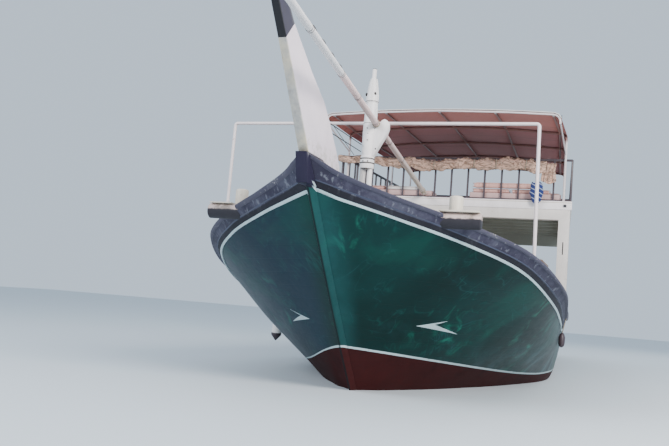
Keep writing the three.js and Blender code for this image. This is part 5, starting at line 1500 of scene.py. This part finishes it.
class DHOW_OT_curtain(bpy.types.Operator):
    """Rolls up the front curtain and ties it"""

    bl_idname = "dhow.curtain"
    bl_label = "Furled curtain"

    def execute(self, context):
        rng = random.Random(7)
        steps, around = 460, 44
        phases = [rng.uniform(0, 6.28) for k in range(12)]

        def crease(value):
            return 1 - 2 * abs(math.sin(value / 2)) ** 0.7

        rows = []
        for i in range(steps + 1):
            y = CURTAIN_START + CURTAIN_LONG * i / steps
            top, low = curtain_line(y, CURTAIN_TOP), curtain_line(y, CURTAIN_LOW)
            tie = max(math.exp(-((y - at) / 0.06) ** 2) for at in CURTAIN_TIES)
            wander = 0.018 * math.sin(y * 5.1 + phases[8]) + 0.010 * math.sin(y * 13.0 + phases[9])
            half_z = (top - low) / 2 * (1 - 0.32 * tie)
            half_x = 0.072 * (1 - 0.25 * tie)
            centre = Vector((CURTAIN_X, y, (top + low) / 2 + wander * (1 - tie)))
            row = []
            for k in range(around + 1):
                share = k / around
                a = math.pi * 0.5 + 2 * math.pi * CURTAIN_TURNS * share
                shrink = 0.96 - 0.28 * share
                fold = (0.085 * crease(a * 3 + y * 6.1 + phases[0])
                        + 0.075 * crease(a * 2 - y * 11.7 + phases[1])
                        + 0.060 * crease(y * 21.0 + a * 3 + phases[2])
                        + 0.045 * crease(y * 34.0 - a * 4 + phases[3])
                        + 0.030 * math.sin(y * 55.0 + a * 5 + phases[5]))
                pucker = tie * 0.10 * math.sin(a * 9 + phases[4])
                f = shrink + fold * (1.0 - 0.5 * tie) + pucker
                row.append(centre + Vector((half_x * f * math.cos(a),
                                            0.010 * math.sin(a * 2 + y * 5),
                                            half_z * f * math.sin(a))))
            rows.append(row)
        roll = grid(rows)
        roll = place(roll, "curtain_roll", "curtain", nodes=["curtain"], angle=1.2)
        tail_rows = []
        for i in range(41):
            share = i / 40
            y = 2.24 + 0.36 * share
            row = []
            for k in range(33):
                a = k / 32
                drop = a * (0.52 - 0.16 * abs(share - 0.55))
                row.append((1.085 + 0.030 * math.sin(share * 22 + a * 2.0) * (0.4 + 0.6 * a),
                            y + 0.02 * math.sin(a * 5 + share * 3) - 0.04 * a * (share - 0.5),
                            5.17 - drop))
            tail_rows.append(row)
        tail = place(grid(tail_rows), "curtain_tail", "curtain", angle=1.2)
        bundle_rows = []
        for i in range(29):
            t = i / 28
            z = 4.685 - 0.55 * t
            wide = 0.150 * math.sin(math.pi * min(t * 0.9 + 0.14, 1)) ** 0.5 + 0.012
            bundle_rows.append([(1.135 + 0.055 * wide / 0.16 * math.cos(a),
                                 2.155 + wide * math.sin(a) * (1 + 0.07 * math.sin(t * 17)),
                                 z + 0.018 * math.sin(a * 3 + t * 9)) for a in angles(24)])
        bundle = place(skin(bundle_rows), "hanging_bundle", "striped", angle=1.2)
        place(tube([(1.128, 2.155, 4.67), (1.115, 2.157, 4.80), (1.10, 2.16, 4.93)], 0.010, 8),
              "bundle_tie", "rope_dark")
        ties = []
        for at in CURTAIN_TIES:
            top, low = curtain_line(at, CURTAIN_TOP), curtain_line(at, CURTAIN_LOW)
            middle, half = (top + low) / 2, (top - low) / 2 * 0.72
            ring = [(CURTAIN_X + 0.062 * math.cos(a), at + 0.008 * math.sin(a),
                     middle + half * math.sin(a)) for a in angles(20, 24)]
            ties.append(tube(ring, 0.009, 8))
            ties.append(bead((1.135, at, middle + 0.02), (0.018, 0.022, 0.020), 10))
        place(joined(ties), "curtain_ties", "rope", angle=1.0)
        return {"FINISHED"}


class DHOW_OT_cushions(bpy.types.Operator):
    """Fills the seat cushions and lays them on the benches"""

    bl_idname = "dhow.cushions"
    bl_label = "Cushions"

    def pad(self, name, wide, long, high):
        """One swollen cushion centred on the origin, by cloth simulation."""
        body = box((-wide / 2 + 0.012, -long / 2 + 0.012, 0.012),
                   (wide / 2 - 0.012, long / 2 - 0.012, high - 0.016), 0.02, 3)
        body.name = name
        pick(body)
        remesh = body.modifiers.new("cells", "REMESH")
        remesh.mode = "VOXEL"
        remesh.voxel_size = PAD_CELL
        bpy.ops.object.modifier_apply(modifier=remesh.name)
        before = [v.co.copy() for v in body.data.vertices]
        cloth_mod = body.modifiers.new("fill", "CLOTH")
        cloth_mod.settings.use_pressure = True
        cloth_mod.settings.uniform_pressure_force = 4
        cloth_mod.settings.effector_weights.gravity = 0
        for step in range(1, 15):
            bpy.context.scene.frame_set(step)
        bpy.ops.object.modifier_apply(modifier=cloth_mod.name)
        bpy.context.scene.frame_set(1)
        for vertex, start in zip(body.data.vertices, before):
            move = vertex.co - start
            if move.length > PAD_SWELL:
                vertex.co = start + move.normalized() * PAD_SWELL
            vertex.co.z = min(max(vertex.co.z, 0.002), high - 0.002)
        smooth = body.modifiers.new("soft", "SUBSURF")
        smooth.levels = smooth.render_levels = 1
        bpy.ops.object.modifier_apply(modifier=smooth.name)
        across, along = wide / 2 - PAD_CORNER, long / 2 - PAD_CORNER
        piping = []
        for z in (high * 0.22, high * 0.80):
            path = []
            for start, (cx, cy) in enumerate(((across, along), (-across, along),
                                              (-across, -along), (across, -along))):
                for k in range(5):
                    a = math.pi / 2 * (start + k / 4)
                    path.append((cx + (PAD_CORNER - 0.006) * math.cos(a),
                                 cy + (PAD_CORNER - 0.006) * math.sin(a), z))
            piping.append(tube([*path, path[0], path[1]], 0.0055, 6))
        return joined([body, *piping])

    def row(self, name, node, pad, places):
        """Copies of a cushion laid along a bench; each place is (x, y, z, turned)."""
        copies = []
        for x, y, z, quarter in places:
            made = copied(pad)
            turn = Matrix.Rotation(math.pi / 2 if quarter else 0, 4, "Z")
            made.data.transform(Matrix.Translation((x, y, z)) @ turn)
            copies.append(made)
        obj = place(joined(copies), name, "cushion", nodes=[node], angle=1.0)

    def execute(self, context):
        upper = self.pad("upper_pad", 0.95, 0.45, 0.118)
        main = self.pad("main_pad", 0.925, 0.43, 0.088)
        for side, sign in SIDES:
            top_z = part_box(f"upper_cushion_{side}")[0][2] + 0.001
            spots = []
            for k in range(5):
                x = -4.0 + 0.965 * k
                edge = house_half(x) - 0.285
                spots.append((x, sign * (edge - 0.225), top_z, False))
            front = (1.0, 1.98) if sign > 0 else (2.24,)
            for y in front:
                spots.append((0.60, sign * y, top_z, True))
            self.row(f"upper_pads_{side}", f"upper_cushion_{side}", upper, spots)
            low = Vector(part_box(f"main_cushion_{side}")[0])
            spots = []
            for k in range(6):
                x = low.x + 0.47 + 0.936 * k
                edge = house_half(x) - 0.29
                spots.append((x, sign * (edge - 0.225), low.z + 0.001, False))
            self.row(f"main_pads_{side}", f"main_cushion_{side}", main, spots)
        bolster = copied(upper)
        bolster.data.transform(
            Matrix.Translation((0.83, 1.30, 4.56)) @ Matrix.Rotation(math.pi / 2, 4, "Z")
            @ Matrix.Diagonal((1.6, 0.26, 1.15, 1)))
        place(bolster, "sofa_back_port", "cushion", angle=1.0)
        loose = copied(upper)
        loose.data.transform(
            Matrix.Translation((0.61, -1.26, 4.441)) @ Matrix.Rotation(math.pi / 2, 4, "Z")
            @ Matrix.Diagonal((1, 1.05, 1, 1)))
        place(loose, "white_cushion", "cushion_white", angle=1.0)
        for pad in (upper, main):
            bpy.data.objects.remove(pad, do_unlink=True)
        return {"FINISHED"}


NODE_FINISHES = {"deck": "deck", "hatch_coaming": "teak", "hatch_lid": "teak"}


class DHOW_OT_nodes(bpy.types.Operator):
    """Paints the solids that are kept as they are"""

    bl_idname = "dhow.nodes"
    bl_label = "Painted solids"

    def execute(self, context):
        for node, finish in NODE_FINISHES.items():
            obj = frame["nodes"][node]
            obj.data.materials.clear()
            obj.data.materials.append(MATERIALS[finish])
        return {"FINISHED"}


OPERATORS = (DHOW_OT_materials, DHOW_OT_stage, DHOW_OT_hull, DHOW_OT_trim, DHOW_OT_stem,
             DHOW_OT_foredeck, DHOW_OT_mast, DHOW_OT_rigging, DHOW_OT_house,
             DHOW_OT_wheelhouse, DHOW_OT_rudder, DHOW_OT_awning, DHOW_OT_curtain,
             DHOW_OT_cushions, DHOW_OT_nodes)


class DHOW_PT_panel(bpy.types.Panel):
    """Buttons that build the boat, in order"""

    bl_idname = "DHOW_PT_panel"
    bl_label = "Dhow"
    bl_space_type = "VIEW_3D"
    bl_region_type = "UI"
    bl_category = "Dhow"

    def draw(self, context):
        layout = self.layout
        for group in (context.scene.dhow_colors, context.scene.dhow_sizes):
            for name in group.__annotations__:
                layout.prop(group, name)
        for operator in OPERATORS:
            layout.operator(operator.bl_idname)


CLASSES = (DhowColors, DhowSizes, *OPERATORS, DHOW_PT_panel)


def register():
    for cls in CLASSES:
        bpy.utils.register_class(cls)
    bpy.types.Scene.dhow_colors = PointerProperty(type=DhowColors)
    bpy.types.Scene.dhow_sizes = PointerProperty(type=DhowSizes)


def unregister():
    del bpy.types.Scene.dhow_sizes
    del bpy.types.Scene.dhow_colors
    for cls in reversed(CLASSES):
        bpy.utils.unregister_class(cls)


def main():
    register()
    for operator in OPERATORS:
        group, name = operator.bl_idname.split(".")
        getattr(getattr(bpy.ops, group), name)()
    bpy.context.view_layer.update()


if __name__ == "__main__":
    main()
